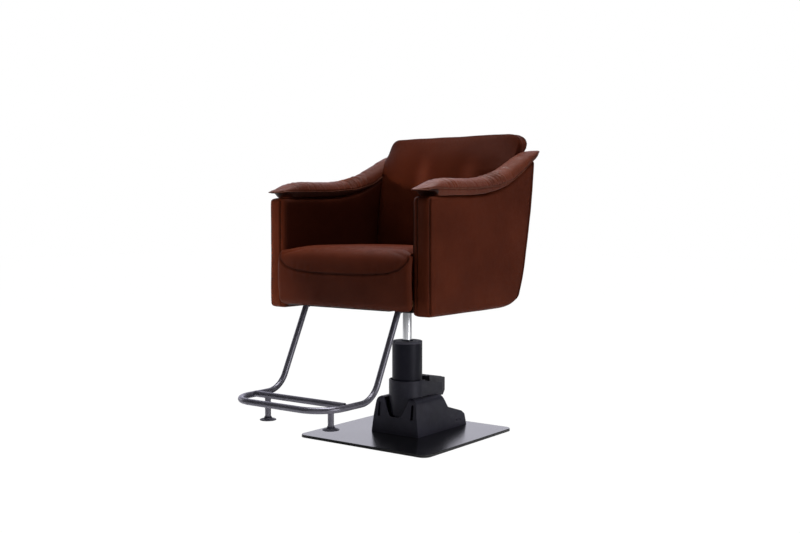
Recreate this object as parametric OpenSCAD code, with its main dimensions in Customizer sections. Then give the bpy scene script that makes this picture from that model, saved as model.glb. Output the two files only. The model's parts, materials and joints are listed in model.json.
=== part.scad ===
// Styling chair: square floor plate, hydraulic pump with a rear foot pedal,
// chromed ram, swivelling upholstered tub seat and a bent-tube footrest.
// Millimetres, +Z up, the chair faces -Y. The origin is on the floor, on the
// axis of the ram, at the centre of the floor plate's underside.

/* [Floor plate] */
// Side of the square floor plate
plate_w = 520; // [500:5:560]
// Thickness of the floor plate
plate_t = 9; // [6:0.5:12]
// Corner radius of the floor plate
plate_r = 27; // [10:1:60]

/* [Pump] */
// Outer radius of the reservoir sleeve
sleeve_r = 51; // [48:0.5:54]
// Height of the top of the sleeve's cap above the floor
sleeve_top = 317; // [300:1:318]
// Radius of the chromed ram
ram_r = 15; // [13:0.5:17]
// Outer radius of the piston
piston_r = 23.95; // [23.9:0.01:23.97]
// Bore radius of the pump's cylinder
cyl_r = 24; // [24:0.01:24.02]

/* [Covers] */
// Half width of the lower cover at the floor plate
shroud_hw = 97; // [94:1:100]
// Front of the lower cover
shroud_front = -72; // [-74:1:-70]
// Rear of the lower cover
shroud_back = 218; // [212:1:226]
// Outer radius of the collar on the upper cover
collar_r = 62; // [60:0.5:64]
// Height of the collar's rim
collar_top = 187; // [182:1:194]

/* [Pedal] */
// Distance of the pedal's pin behind the ram's axis
pin_y = 66; // [64:1:68]
// Height of the pedal's pin
pin_z = 112; // [111:1:113]
// Radius of the pedal's pin
pin_r = 4; // [3.5:0.1:4.2]
// Half width of the pedal's tread
tread_hw = 50; // [44:1:52]

/* [Footrest] */
// Outer radius of the footrest tube
tube_r = 9.5; // [9:0.1:10]
// Wall thickness of the footrest tube
tube_t = 2; // [1.5:0.1:2.5]
// Half distance between the side tubes
rest_hw = 186; // [180:1:190]
// Height of the flat part of the footrest
rest_z = 191; // [188:0.5:195]
// Front bar's distance in front of the ram's axis
rest_front = 645; // [635:1:655]

/* [Seat] */
// Half width inside the arms
seat_hw = 250; // [248:1:252]
// Half width outside the arms
arm_hw = 328; // [324:1:332]
// Front face of the arms
arm_front = -326; // [-328:1:-324]
// Top of the seat board
board_top = 481; // [480:1:482]
// Top of the seat cushion
cushion_top = 638; // [620:1:640]
// Top of the back cushion
back_top = 1016; // [1000:1:1020]

/* [Hidden] */
$fn = 48;

// ---- helpers --------------------------------------------------------------

function vsub(a, b) = [a[0] - b[0], a[1] - b[1]];
function vadd(a, b) = [a[0] + b[0], a[1] + b[1]];
function vlen(a) = sqrt(a[0] * a[0] + a[1] * a[1]);
function unit(a) = a / vlen(a);

// One rounded corner at b, between the sides to a and c, radius r
function corner(a, b, c, r, n = 5) =
  r <= 0 ? [b] :
  let (u = unit(vsub(a, b)), v = unit(vsub(c, b)),
       ang = acos(max(-1, min(1, u[0] * v[0] + u[1] * v[1]))),
       t = r / tan(ang / 2),
       m = unit(vadd(u, v)),
       o = vadd(b, m * (r / sin(ang / 2))),
       p = vadd(b, u * t), q = vadd(b, v * t),
       a0 = atan2(p[1] - o[1], p[0] - o[0]),
       a1r = atan2(q[1] - o[1], q[0] - o[0]),
       d0 = a1r - a0,
       d = d0 > 180 ? d0 - 360 : d0 < -180 ? d0 + 360 : d0)
  [for (i = [0:n]) vadd(o, [r * cos(a0 + d * i / n), r * sin(a0 + d * i / n)])];

// A polygon of [x, y, r] points, each corner rounded by its r
function rounded(p, n = 5) =
  let (k = len(p))
  [for (i = [0:k - 1])
    for (q = corner([p[(i + k - 1) % k][0], p[(i + k - 1) % k][1]],
                    [p[i][0], p[i][1]],
                    [p[(i + 1) % k][0], p[(i + 1) % k][1]], p[i][2], n)) q];

// A profile drawn in Y and Z, extruded along X from x0 to x1
module prism_x(pts, x0, x1) {
  translate([x0, 0, 0]) rotate([90, 0, 90])
    linear_extrude(height = x1 - x0) polygon(pts);
}

module rbox2(w, d, r) {
  square([w - 2 * r, d], center = true);
  square([w, d - 2 * r], center = true);
  for (x = [-1, 1], y = [-1, 1])
    translate([x * (w / 2 - r), y * (d / 2 - r)]) circle(r);
}

module ring(ro, ri, h) {
  difference() {
    cylinder(r = ro, h = h);
    translate([0, 0, -1]) cylinder(r = ri, h = h + 2);
  }
}

module hex_bolt(r, l, head_r, head_h) {
  cylinder(r = head_r, h = head_h, $fn = 6);
  translate([0, 0, -l]) cylinder(r = r, h = l + 0.5);
}

// ---- floor plate and pump -------------------------------------------------

pump_hole_x = 62;
pump_hole_y = 46;
module base_plate() {
  color([0.09, 0.09, 0.1])
  difference() {
    union() {
      linear_extrude(height = plate_t - 1.2) rbox2(plate_w, plate_w, plate_r);
      translate([0, 0, plate_t - 1.2])
        linear_extrude(height = 1.2) rbox2(plate_w - 2.4, plate_w - 2.4, plate_r - 1.2);
    }
    for (x = [-1, 1], y = [-1, 1])
      translate([x * pump_hole_x, y * pump_hole_y, -1]) cylinder(r = 5, h = plate_t + 2);
  }
}

module pump_base() {
  color([0.25, 0.26, 0.28])
  difference() {
    union() {
      translate([0, 0, plate_t]) linear_extrude(height = 12) rbox2(154, 120, 14);
      translate([0, 0, plate_t + 12]) cylinder(r = 42, h = 44);
      // valve block, lower where it runs in under the sleeve
      translate([-20, 38, plate_t]) cube([40, 76, 56]);
      translate([-20, 52, plate_t]) cube([40, 62, 66]);
    }
    translate([0, 0, plate_t + 6]) cylinder(r = 30, h = 80);
    for (x = [-1, 1], y = [-1, 1])
      translate([x * pump_hole_x, y * pump_hole_y, plate_t - 1]) cylinder(r = 5, h = 20);
    translate([0, 96, 36]) cylinder(r = 8.05, h = 60);
  }
}

module pump_bolts() {
  color([0.6, 0.6, 0.62])
  for (x = [-1, 1], y = [-1, 1])
    translate([x * pump_hole_x, y * pump_hole_y, plate_t + 12])
      hex_bolt(5, 19, 8.5, 6);
}

cyl_top = sleeve_top - 60;
module pump_cylinder() {
  color([0.6, 0.61, 0.63])
  difference() {
    translate([0, 0, plate_t + 6]) cylinder(r = 30, h = cyl_top - plate_t - 6);
    translate([0, 0, plate_t + 10]) cylinder(r = cyl_r, h = 300);
  }
}

module reservoir_sleeve() {
  color([0.08, 0.085, 0.1])
  translate([0, 0, plate_t + 56]) ring(sleeve_r, sleeve_r - 3, sleeve_top - 8 - plate_t - 56);
}

module sleeve_cap() {
  color([0.1, 0.1, 0.11])
  difference() {
    union() {
      translate([0, 0, sleeve_top - 8]) cylinder(r = sleeve_r, h = 6.8);
      translate([0, 0, sleeve_top - 1.2]) cylinder(r1 = sleeve_r, r2 = sleeve_r - 1.2, h = 1.2);
    }
    translate([0, 0, sleeve_top - 9]) cylinder(r = 20.5, h = 12);
  }
}

module guide_bush() {
  color([0.7, 0.55, 0.25])
  difference() {
    union() {
      translate([0, 0, cyl_top]) cylinder(r = 30, h = 44);
      translate([0, 0, cyl_top - 30]) cylinder(r = cyl_r, h = 30);
      translate([0, 0, cyl_top + 44]) cylinder(r = sleeve_r - 3, h = 8);
    }
    translate([0, 0, cyl_top - 40]) cylinder(r = ram_r + 0.05, h = 140);
  }
}

module wiper_seal() {
  color([0.05, 0.05, 0.05])
  translate([0, 0, sleeve_top - 8]) ring(20.4, ram_r + 0.05, 4.5);
}

// ---- covers ---------------------------------------------------------------

// Side outline of the lower cover in Y and Z
function lower_side(o = 0) = rounded([
  [shroud_front + o, plate_t, 0], [shroud_back - o, plate_t, 0],
  [shroud_back - 4 - o, 46 - o, 12], [196 - o, 59 - o, 6],
  [118 - o, 83 - o, 8], [90 - o, 130 - o, 5],
  [shroud_front + 11 + o, 130 - o, 9], [shroud_front + 2 + o, 66 - o, 0]]);

// Front outline of the lower cover in X and Z, narrower towards the top, with
// soft upper edges
function lower_front(o = 0) = [
  [-shroud_hw + o, plate_t], [shroud_hw - o, plate_t],
  [shroud_hw - 13 - o, 106], [shroud_hw - 14.6 - o, 115], [shroud_hw - 18 - o, 122],
  [shroud_hw - 23 - o, 127], [shroud_hw - 29 - o, 130 - o], [shroud_hw - 30 - o, 135],
  [-shroud_hw + 30 + o, 135], [-shroud_hw + 29 + o, 130 - o], [-shroud_hw + 23 + o, 127],
  [-shroud_hw + 18 + o, 122], [-shroud_hw + 14.6 + o, 115], [-shroud_hw + 13 + o, 106]];

// Right half of the V between the shoulders, in X and Z: an S-curve from the
// shoulder's top down to the flat foot of the V
shoulder_curve = [[62, 160], [62, 130.5], [57, 129.2], [52.5, 126], [48.5, 120], [45, 112],
  [41, 102], [36, 91], [30.5, 80], [25, 71.5], [19, 67], [13, 66]];
function mirror_x(a) = [for (i = [len(a) - 1:-1:0]) [-a[i][0], a[i][1]]];

module front_prism(pts, y0, y1) {
  translate([0, y1, 0]) rotate([90, 0, 0]) linear_extrude(height = y1 - y0) polygon(pts);
}

module lower_shroud() {
  color([0.12, 0.12, 0.13])
  difference() {
    intersection() {
      prism_x(lower_side(), -120, 120);
      front_prism(lower_front(), -90, 240);
    }
    // hollow inside, open at the floor plate
    intersection() {
      prism_x(concat([[shroud_front + 3.5, plate_t - 1], [shroud_back - 3.5, plate_t - 1]],
        [[shroud_back - 8, 42], [192, 55], [115, 79], [88, 126.5],
         [shroud_front + 14, 126.5], [shroud_front + 5.5, 62]]), -120, 120);
      front_prism([[-shroud_hw + 3.5, plate_t - 1], [shroud_hw - 3.5, plate_t - 1],
        [shroud_hw - 17, 106], [shroud_hw - 27, 123], [shroud_hw - 32, 131],
        [-shroud_hw + 32, 131], [-shroud_hw + 27, 123], [-shroud_hw + 17, 106]], -90, 240);
    }
    // opening for the collar and the pedal between the shoulders
    translate([0, 0, 60]) cylinder(r = collar_r + 0.6, h = 100);
    translate([-collar_r - 0.6, 0, 100]) cube([2 * collar_r + 1.2, 125, 60]);
    // notch for the lever and the plunger's collar
    translate([-16, 60, 86]) cube([32, 70, 30]);
    // V between the shoulders in front of the collar
    front_prism(concat(shoulder_curve, mirror_x(shoulder_curve)), -90, 0);
    // a slot in the front of each shoulder
    for (x = [-1, 1])
      translate([x * 68, -90, 63]) rotate([-90, 0, 0]) linear_extrude(height = 40)
        polygon([for (q = rounded([[-5, 0, 0], [5, 0, 0], [4.5, 50, 4.4], [-4.5, 50, 4.4]])) [q[0], -q[1]]]);
    // screw holes low at the rear of each side
    for (y = [161, 186]) translate([-120, y, 31]) rotate([0, 90, 0]) cylinder(r = 2.6, h = 240);
  }
}

module shroud_screws() {
  color([0.05, 0.05, 0.05])
  for (y = [161, 186], x = [-1, 1])
    translate([x * 85.5, y, 31]) rotate([0, x * 90, 0]) {
      cylinder(r = 2.5, h = 5.5);
      translate([0, 0, -2.4]) cylinder(r = 4.4, h = 2.4);
    }
}

// The collar reaches lower in front, where it fills the V
module upper_shroud() {
  color([0.12, 0.12, 0.13])
  difference() {
    union() {
      translate([0, 0, 131]) cylinder(r = collar_r, h = collar_top - 132.2);
      translate([0, 0, collar_top - 1.2]) cylinder(r1 = collar_r, r2 = collar_r - 1.2, h = 1.2);
      intersection() {
        translate([0, 0, 67]) cylinder(r = collar_r, h = 70);
        translate([-70, -80, 60]) cube([140, 72, 80]);
      }
      for (x = [-1, 1])
        prism_x(rounded([[0, 131, 0], [116, 131, 0], [118, 134, 0], [118, 166, 3], [0, collar_top - 0.6, 0]]),
          x > 0 ? collar_r - 4.5 : -collar_r, x > 0 ? collar_r : -collar_r + 4.5);
    }
    translate([0, 0, 60]) cylinder(r = collar_r - 4.5, h = 200);
    translate([-collar_r + 4.5, 0, 60]) cube([2 * collar_r - 9, 200, 200]);
  }
}

// ---- pedal ----------------------------------------------------------------

module pedal_brackets() {
  color([0.3, 0.31, 0.33])
  for (x = [-1, 1])
    difference() {
      translate([x * 26 - 4, pin_y - 12, plate_t + 12]) cube([8, 24, pin_z + 12 - plate_t - 12]);
      translate([x * 26 - 6, pin_y, pin_z]) rotate([0, 90, 0]) cylinder(r = pin_r, h = 12);
    }
}

module pedal_pin() {
  color([0.7, 0.7, 0.72])
  translate([-32, pin_y, pin_z]) rotate([0, 90, 0]) cylinder(r = pin_r, h = 64);
}

lever_under = pin_z - 8;
module pedal_lever() {
  color([0.35, 0.36, 0.38])
  difference() {
    union() {
      translate([-21.5, pin_y, pin_z]) rotate([0, 90, 0]) cylinder(r = 8, h = 43);
      translate([-14, pin_y, lever_under]) cube([28, 84, 16]);
    }
    translate([-30, pin_y, pin_z]) rotate([0, 90, 0]) cylinder(r = pin_r + 0.05, h = 60);
  }
}

module tread_side(o) polygon(rounded([[60 + o, 118, 0], [141, 118, 0], [153 - o, 133, 0],
    [153 - o, 179 - o, 4 - o / 2], [60 + o, 193.5 - o, 3 - o / 2]]));
module pedal_tread() {
  color([0.1, 0.1, 0.11])
  union() {
    difference() {
      union() {
        translate([-tread_hw, 0, 0]) rotate([90, 0, 90])
          linear_extrude(height = 2 * tread_hw) tread_side(0);
        // raised grip ribs across the top
        for (i = [0:6])
          translate([-tread_hw + 8, 72 + i * 11.6, 191.62 - i * 11.6 * 0.15591 - 1.2])
            rotate([-8.86, 0, 0]) cube([2 * tread_hw - 16, 4, 2.4]);
      }
      // hollow below, open at the bottom
      prism_x([[64, 100], [148.5, 100], [148.5, 135], [148.5, 174.5], [64, 188]], -tread_hw + 4, tread_hw - 4);
      // room in front for the brackets and the lever's barrel
      translate([-33, 50, 110]) cube([66, 16, 18.5]);
    }
    // boss that carries the tread on the lever, joined to its ceiling and rear wall
    prism_x([[100, lever_under + 16.05], [142, lever_under + 16.05], [149.5, 130],
      [149.5, 176.5], [100, 184]], -16, 16);
  }
}

plunger_top = 95.7;
module pump_plunger() {
  color([0.75, 0.75, 0.77])
  translate([0, 96, 0]) {
    translate([0, 0, 48]) cylinder(r = 8, h = plunger_top - 48);
    translate([0, 0, plunger_top]) sphere(r = 8);
    translate([0, 0, 91]) cylinder(r = 13, h = 3);
  }
}

// Pedal's return spring: a helix of 5 turns round the plunger
spring_r = 10.4;
spring_lo = 76.4;
spring_hi = 89.6;
function helix(i, n) = let (a = 360 * 4.5 * i / n)
  [spring_r * cos(a), 96 + spring_r * sin(a), spring_lo + (spring_hi - spring_lo) * i / n];
module sweep(pts, r, m = 8) {
  k = len(pts);
  function tan3(i) = let (d = pts[min(i + 1, k - 1)] - pts[max(i - 1, 0)]) d / norm(d);
  verts = [for (i = [0:k - 1])
    let (t = tan3(i), s = cross(t, [0, 0, 1]), u = s / norm(s), w = cross(u, t))
    for (j = [0:m - 1]) pts[i] + u * r * cos(360 * j / m) + w * r * sin(360 * j / m)];
  faces = concat(
    [[for (j = [0:m - 1]) j]],
    [for (i = [0:k - 2], j = [0:m - 1])
      [i * m + j, (i + 1) * m + j, (i + 1) * m + (j + 1) % m, i * m + (j + 1) % m]],
    [[for (j = [0:m - 1]) (k - 1) * m + m - 1 - j]]);
  polyhedron(points = verts, faces = faces, convexity = 6);
}
module pedal_spring() {
  color([0.7, 0.7, 0.72])
  sweep([for (i = [0:72]) helix(i, 72)], 1.1, 8);
}

// ---- ram ------------------------------------------------------------------

ram_bottom = 136;
shoulder_z = 426;
spindle_top = 456;
module ram_rod() {
  color([0.85, 0.86, 0.88])
  union() {
    translate([0, 0, ram_bottom + 24]) cylinder(r = ram_r, h = shoulder_z - ram_bottom - 24);
    translate([0, 0, shoulder_z]) cylinder(r = 12.5, h = spindle_top - shoulder_z);
    translate([0, 0, ram_bottom - 2]) cylinder(r = 9, h = 28);
  }
}

module ram_piston() {
  color([0.5, 0.5, 0.52])
  difference() {
    translate([0, 0, ram_bottom]) cylinder(r = piston_r, h = 24);
    translate([0, 0, ram_bottom - 1]) cylinder(r = 9, h = 26);
    translate([0, 0, ram_bottom + 9]) ring(piston_r + 2, 20, 6);
  }
}

module piston_seal() {
  color([0.05, 0.05, 0.05])
  translate([0, 0, ram_bottom + 9]) ring(piston_r, 20, 6);
}

module thrust_washer() {
  color([0.7, 0.55, 0.25])
  translate([0, 0, shoulder_z]) ring(21, 12.5, 2.8);
}

// ---- seat -----------------------------------------------------------------

hub_z = 429;
mount_z = 459;
bolt_x = 70;
bolt_y = 60;
module swivel_hub() {
  color([0.3, 0.3, 0.32])
  difference() {
    union() {
      translate([0, 0, hub_z]) cylinder(r = 27, h = mount_z - hub_z);
      translate([0, 0, mount_z - 6]) cylinder(r = 48, h = 6);
    }
    translate([0, 0, hub_z - 1]) cylinder(r = 12.55, h = 40);
  }
}

module seat_mount_plate() {
  color([0.2, 0.2, 0.21])
  difference() {
    translate([0, 0, mount_z]) linear_extrude(height = 7) rbox2(200, 180, 12);
    for (x = [-1, 1], y = [-1, 1])
      translate([x * bolt_x, y * bolt_y, mount_z - 1]) cylinder(r = 4.2, h = 10);
  }
}

module mount_bolts() {
  color([0.6, 0.6, 0.62])
  for (x = [-1, 1], y = [-1, 1])
    translate([x * bolt_x, y * bolt_y, mount_z]) rotate([180, 0, 0])
      hex_bolt(4, 18, 6.5, 4.5);
}

module seat_board() {
  color([0.7, 0.55, 0.38])
  difference() {
    translate([-seat_hw + 2, -310, mount_z + 7]) cube([2 * seat_hw - 4, 458, board_top - mount_z - 7]);
    for (x = [-1, 1], y = [-1, 1])
      translate([x * bolt_x, y * bolt_y, mount_z]) cylinder(r = 4, h = 18.5);
  }
}

module bottom_cover() {
  color([0.06, 0.06, 0.065])
  difference() {
    translate([-seat_hw + 0.5, -318, 447]) cube([2 * seat_hw - 1, 440, 3]);
    translate([0, 0, 440]) cylinder(r = 56, h = 20);
    for (x = [-1, 1], y = [-1, 1])
      translate([x * bolt_x, y * bolt_y, 440]) cylinder(r = 12, h = 20);
    for (x = [-1, 1]) translate([x * rest_hw - 20, -330, 440]) cube([40, 56, 20]);
  }
}

// The cushion rests on the board and its nose hangs over the board's front
module seat_cushion() {
  color([0.29, 0.14, 0.1])
  union() {
    prism_x(rounded([[arm_front - 1, board_top + 0.3, 0], [147.5, board_top + 0.3, 0],
      [147.5, cushion_top - 6, 12], [-150, cushion_top, 0], [arm_front - 1, cushion_top - 14, 0]]),
      -seat_hw + 0.8, seat_hw - 0.8);
    prism_x(rounded([[arm_front - 1, 458, 0], [arm_front - 1, cushion_top - 14, 0],
      [-352, cushion_top - 34, 16], [-352, 478, 14], [-340, 458, 6]]),
      -seat_hw - 10, seat_hw + 10);
  }
}

// Outline of an arm in Y and Z. The top follows the padded rail: low and level
// in front, then sweeping up to the back.
function arm_top(o) = [[arm_front + 2 + o, 792 - o, 0], [-210, 798 - o, 0], [-130, 799 - o, 0],
  [-44, 804 - o, 0], [27, 816 - o, 0], [89, 832 - o, 0], [152, 860 - o, 0],
  [217, 894 - o, 0], [271, 922 - o, 0], [296 - o, 934 - o, 0]];
function rev(a) = [for (i = [len(a) - 1:-1:0]) a[i]];
function arm_side(o) = rounded(concat(
  [[arm_front + o, 437 + o, o > 0 ? 0 : 14], [64, 436 + o, 0], [130, 441 + o, 20],
   [177 - o, 461 + o, 30], [207 - o, 510 + o, 30], [236 - o, 600, 0], [262 - o, 700, 0],
   [279 - o, 800, 0], [290 - o, 880, 0]], rev(arm_top(o))));

module arm_cover() {
  difference() {
    intersection() {
      prism_x(arm_side(0), seat_hw, arm_hw);
      // soft vertical edges, seen from above
      translate([0, 0, 400]) linear_extrude(height = 600)
        polygon(rounded([[seat_hw, arm_front, 18], [arm_hw, arm_front, 24],
          [arm_hw, 340, 14], [seat_hw, 340, 0]]));
    }
    prism_x(arm_side(14), seat_hw - 1, arm_hw - 14);
  }
}
module arm_frame() prism_x(arm_side(14.3), seat_hw + 12.2, arm_hw - 14.3);
module inner_panel() prism_x(arm_side(14.3), seat_hw, seat_hw + 12);

// The pad lies on the arm's top. Its foot starts behind the arm's front edge,
// and above the foot it runs out to a thin beak in front and a point at the rear.
function pad_side() = rounded(concat(
  [[-289, 794.2, 0]],
  [for (p = arm_top(0)) if (p[0] > -280) [p[0], p[1] + 0.4, 0]],
  [[317, 944, 0], [328, 956, 0], [300, 961, 0], [274, 955, 0], [247, 946, 0],
   [181, 920, 0], [117, 893, 0], [55, 872, 0], [-5, 859, 0], [-63, 852, 0],
   [-120, 850, 0], [-176, 850, 0], [-230, 850, 0], [-282, 843, 0], [-333, 829, 0],
   [-358, 820, 0], [-364, 815, 0], [-358, 811.5, 0], [-299, 811, 0]]));
module arm_pad() prism_x(pad_side(), seat_hw, arm_hw + 3);

module mirror_arm() mirror([1, 0, 0]) children();

module left_arm_cover() color([0.29, 0.14, 0.1]) arm_cover();
module left_arm_frame() color([0.7, 0.55, 0.38]) arm_frame();
module left_inner_panel() color([0.25, 0.12, 0.09]) inner_panel();
module left_arm_pad() color([0.33, 0.17, 0.12]) arm_pad();
module right_arm_cover() color([0.29, 0.14, 0.1]) mirror_arm() arm_cover();
module right_arm_frame() color([0.7, 0.55, 0.38]) mirror_arm() arm_frame();
module right_inner_panel() color([0.25, 0.12, 0.09]) mirror_arm() inner_panel();
module right_arm_pad() color([0.33, 0.17, 0.12]) mirror_arm() arm_pad();

// Rear outline of the back, from the underside to the top rim
function back_rear(o) = [[150, 447 + o, 0], [177 - o, 462 + o, 0], [208 - o, 512 + o, 0],
  [236 - o, 600, 0], [262 - o, 700, 0], [279 - o, 800, 0], [291 - o, 880, 0], [299 - o, 944 - o, 0]];

module back_cover() {
  color([0.29, 0.14, 0.1])
  prism_x(rounded(concat(back_rear(0),
    [[283, 946, 0], [272.5, 880, 0], [260.5, 800, 0], [246, 700, 0], [220, 600, 0],
     [190, 520, 0], [166, board_top, 0], [150, board_top, 0]])), -seat_hw + 0.5, seat_hw - 0.5);
}

module back_frame() {
  color([0.7, 0.55, 0.38])
  prism_x([[189, 520.5], [218.5, 600], [245, 700], [259, 800], [271, 880], [281, 940],
    [268, 940], [258, 880], [246, 800], [232, 700], [205.5, 600], [176, 520.5]],
    -seat_hw + 1, seat_hw - 1);
}

// The back's upper end is wider: its shoulders rest on the arm pads
module back_cushion() {
  color([0.29, 0.14, 0.1])
  union() {
    prism_x([[148.5, board_top + 0.3], [149, 632], [152, 704], [161, 795], [173, 887],
      [200, 960.5], [272, 960.5], [267.5, 940], [257.5, 880], [245.5, 800],
      [231.5, 700], [205, 600], [158, board_top + 0.3]], -seat_hw + 0.8, seat_hw - 0.8);
    prism_x(rounded([[200, 960.5, 0], [272, 960.5, 0], [306, 968, 0], [318, back_top - 6, 18],
      [244, back_top - 2, 26], [228, 986, 0]]), -284, 284);
  }
}

// ---- footrest -------------------------------------------------------------

// The straight part of a side tube runs down and forward
lean = 26;
bend_r = 85;
bow_r = 85;
bar_y = -543;
corner_y = -425.5;
foot_a = 90 - lean;
bend_t = bend_r * tan(foot_a / 2);
flat_y = corner_y - bend_t;
top_z = 456;
line_len = (top_z - rest_z) / cos(lean) - bend_t;

module annulus() {
  difference() {
    circle(tube_r);
    circle(tube_r - tube_t);
  }
}

// Each side tube in the plane of its bend: level part, bend, then the straight
// part that leans up to the socket
module side_tube() {
  translate([rest_hw, flat_y, rest_z + bend_r]) rotate([90, 0, 90]) rotate([0, 0, -90]) {
    rotate_extrude(angle = foot_a) translate([bend_r, 0]) annulus();
    translate([bend_r, 0, 0]) rotate([90, 0, 0])
      ring(tube_r, tube_r - tube_t, flat_y + rest_front - bow_r);
    rotate([0, 0, foot_a]) translate([bend_r, 0, 0]) rotate([-90, 0, 0])
      ring(tube_r, tube_r - tube_t, line_len);
  }
}

module footrest_left_tube() color([0.2, 0.2, 0.22]) side_tube();
module footrest_right_tube() color([0.2, 0.2, 0.22]) mirror_arm() side_tube();

module bow(r) {
  for (x = [-1, 1])
    translate([x * (rest_hw - bow_r), -rest_front + bow_r, rest_z])
      rotate([0, 0, x > 0 ? -90 : 180]) rotate_extrude(angle = 90) translate([bow_r, 0]) circle(r);
  translate([-rest_hw + bow_r, -rest_front, rest_z]) rotate([0, 90, 0])
    cylinder(r = r, h = 2 * (rest_hw - bow_r));
}
module footrest_front_bow() {
  color([0.2, 0.2, 0.22])
  difference() {
    bow(tube_r);
    bow(tube_r - tube_t);
  }
}

bar_z = rest_z + 3;
module footrest_cross_bar() {
  color([0.2, 0.2, 0.22])
  translate([-rest_hw + tube_r + 0.2, bar_y, bar_z]) rotate([0, 90, 0])
    ring(tube_r, tube_r - tube_t, 2 * (rest_hw - tube_r) - 0.4);
}

post_x = 125;
module footrest_posts() {
  color([0.2, 0.2, 0.22])
  for (x = [-1, 1])
    difference() {
      translate([x * post_x, bar_y, 131]) cylinder(r = 9, h = bar_z - 131);
      translate([x * post_x - 20, bar_y, bar_z]) rotate([0, 90, 0]) cylinder(r = tube_r + 0.02, h = 40);
    }
}

module footrest_feet() {
  color([0.06, 0.06, 0.065])
  for (x = [-1, 1]) translate([x * post_x, bar_y, 0])
    rotate_extrude() polygon([[0, 119], [24.3, 119], [25, 119.7], [25, 121.2], [22, 122.6],
      [14.5, 124.6], [11.5, 127.4], [10.4, 131], [0, 131]]);
}

module footrest_sockets() {
  color([0.25, 0.25, 0.27])
  for (x = [-1, 1])
    difference() {
      union() {
        translate([x * rest_hw - 16, -309, mount_z + 3]) cube([32, 34, 4]);
        translate([x * rest_hw, corner_y, rest_z]) rotate([-lean, 0, 0])
          translate([0, 0, bend_t + line_len - 10]) cylinder(r = 13, h = 11.5);
      }
      translate([x * rest_hw, corner_y, rest_z]) rotate([-lean, 0, 0])
        translate([0, 0, bend_t]) cylinder(r = tube_r, h = line_len);
      for (s = [-1, 1])
        translate([x * rest_hw + s * 11.5, -279.5, mount_z]) cylinder(r = 2, h = 20);
    }
}

module socket_screws() {
  color([0.6, 0.6, 0.62])
  for (x = [-1, 1], s = [-1, 1])
    translate([x * rest_hw + s * 11.5, -279.5, mount_z]) {
      cylinder(r = 2, h = 7);
      cylinder(r = 3.8, h = 3);
    }
}

base_plate();
pump_base();
pump_bolts();
pump_cylinder();
reservoir_sleeve();
sleeve_cap();
guide_bush();
wiper_seal();
lower_shroud();
upper_shroud();
shroud_screws();
pedal_brackets();
pedal_pin();
pedal_spring();
pump_plunger();
pedal_lever();
pedal_tread();
ram_rod();
ram_piston();
piston_seal();
thrust_washer();
swivel_hub();
seat_mount_plate();
mount_bolts();
seat_board();
bottom_cover();
seat_cushion();
left_arm_cover();
left_arm_frame();
left_inner_panel();
left_arm_pad();
right_arm_cover();
right_arm_frame();
right_inner_panel();
right_arm_pad();
back_cover();
back_frame();
back_cushion();
footrest_sockets();
socket_screws();
footrest_left_tube();
footrest_right_tube();
footrest_front_bow();
footrest_cross_bar();
footrest_posts();
footrest_feet();
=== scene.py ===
import json
import math

import bmesh
import bpy
import numpy as np
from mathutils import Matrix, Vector, kdtree, noise

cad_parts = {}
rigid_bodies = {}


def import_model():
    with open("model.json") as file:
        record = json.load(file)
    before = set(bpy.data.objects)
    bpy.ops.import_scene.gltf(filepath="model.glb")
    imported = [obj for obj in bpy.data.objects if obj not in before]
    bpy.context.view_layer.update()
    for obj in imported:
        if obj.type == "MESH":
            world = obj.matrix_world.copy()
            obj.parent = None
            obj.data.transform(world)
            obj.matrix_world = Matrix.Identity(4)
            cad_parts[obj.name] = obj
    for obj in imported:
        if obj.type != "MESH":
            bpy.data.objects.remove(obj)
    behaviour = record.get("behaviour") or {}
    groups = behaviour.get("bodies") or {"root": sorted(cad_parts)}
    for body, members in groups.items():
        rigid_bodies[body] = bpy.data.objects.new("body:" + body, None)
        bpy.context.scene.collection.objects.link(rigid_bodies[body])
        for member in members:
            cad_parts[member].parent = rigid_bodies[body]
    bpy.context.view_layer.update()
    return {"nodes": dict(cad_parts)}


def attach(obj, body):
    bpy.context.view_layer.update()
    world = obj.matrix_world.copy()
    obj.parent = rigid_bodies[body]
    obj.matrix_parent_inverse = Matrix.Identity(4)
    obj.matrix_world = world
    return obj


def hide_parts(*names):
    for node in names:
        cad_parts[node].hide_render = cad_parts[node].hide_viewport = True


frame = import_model()
scene = bpy.context.scene
rng = np.random.default_rng(7)

# --------------------------------------------------------------------------
# camera, lights, floor
# --------------------------------------------------------------------------

cam_data = bpy.data.cameras.new("camera")
cam = bpy.data.objects.new("camera", cam_data)
scene.collection.objects.link(cam)
AZ, EL = math.radians(36.66), math.radians(2.79)
cam.location = (2.0196, -2.7544, 0.7332)
cam.rotation_euler = (math.pi / 2 - EL, 0, AZ)
cam_data.sensor_width = 36
cam_data.lens = 45.72
cam_data.clip_start = 0.05
cam_data.clip_end = 200
scene.camera = cam

scene.view_settings.view_transform = "Standard"
scene.view_settings.look = "None"
scene.view_settings.exposure = 0
scene.view_settings.gamma = 1


def area(name, loc, target, size, energy, spread=180):
    d = bpy.data.lights.new(name, "AREA")
    d.shape = "RECTANGLE"
    d.size, d.size_y = size
    d.energy = energy
    d.spread = math.radians(spread)
    o = bpy.data.objects.new(name, d)
    o.location = loc
    o.rotation_euler = (Vector(target) - Vector(loc)).to_track_quat("-Z", "Y").to_euler()
    scene.collection.objects.link(o)
    return o


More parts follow.
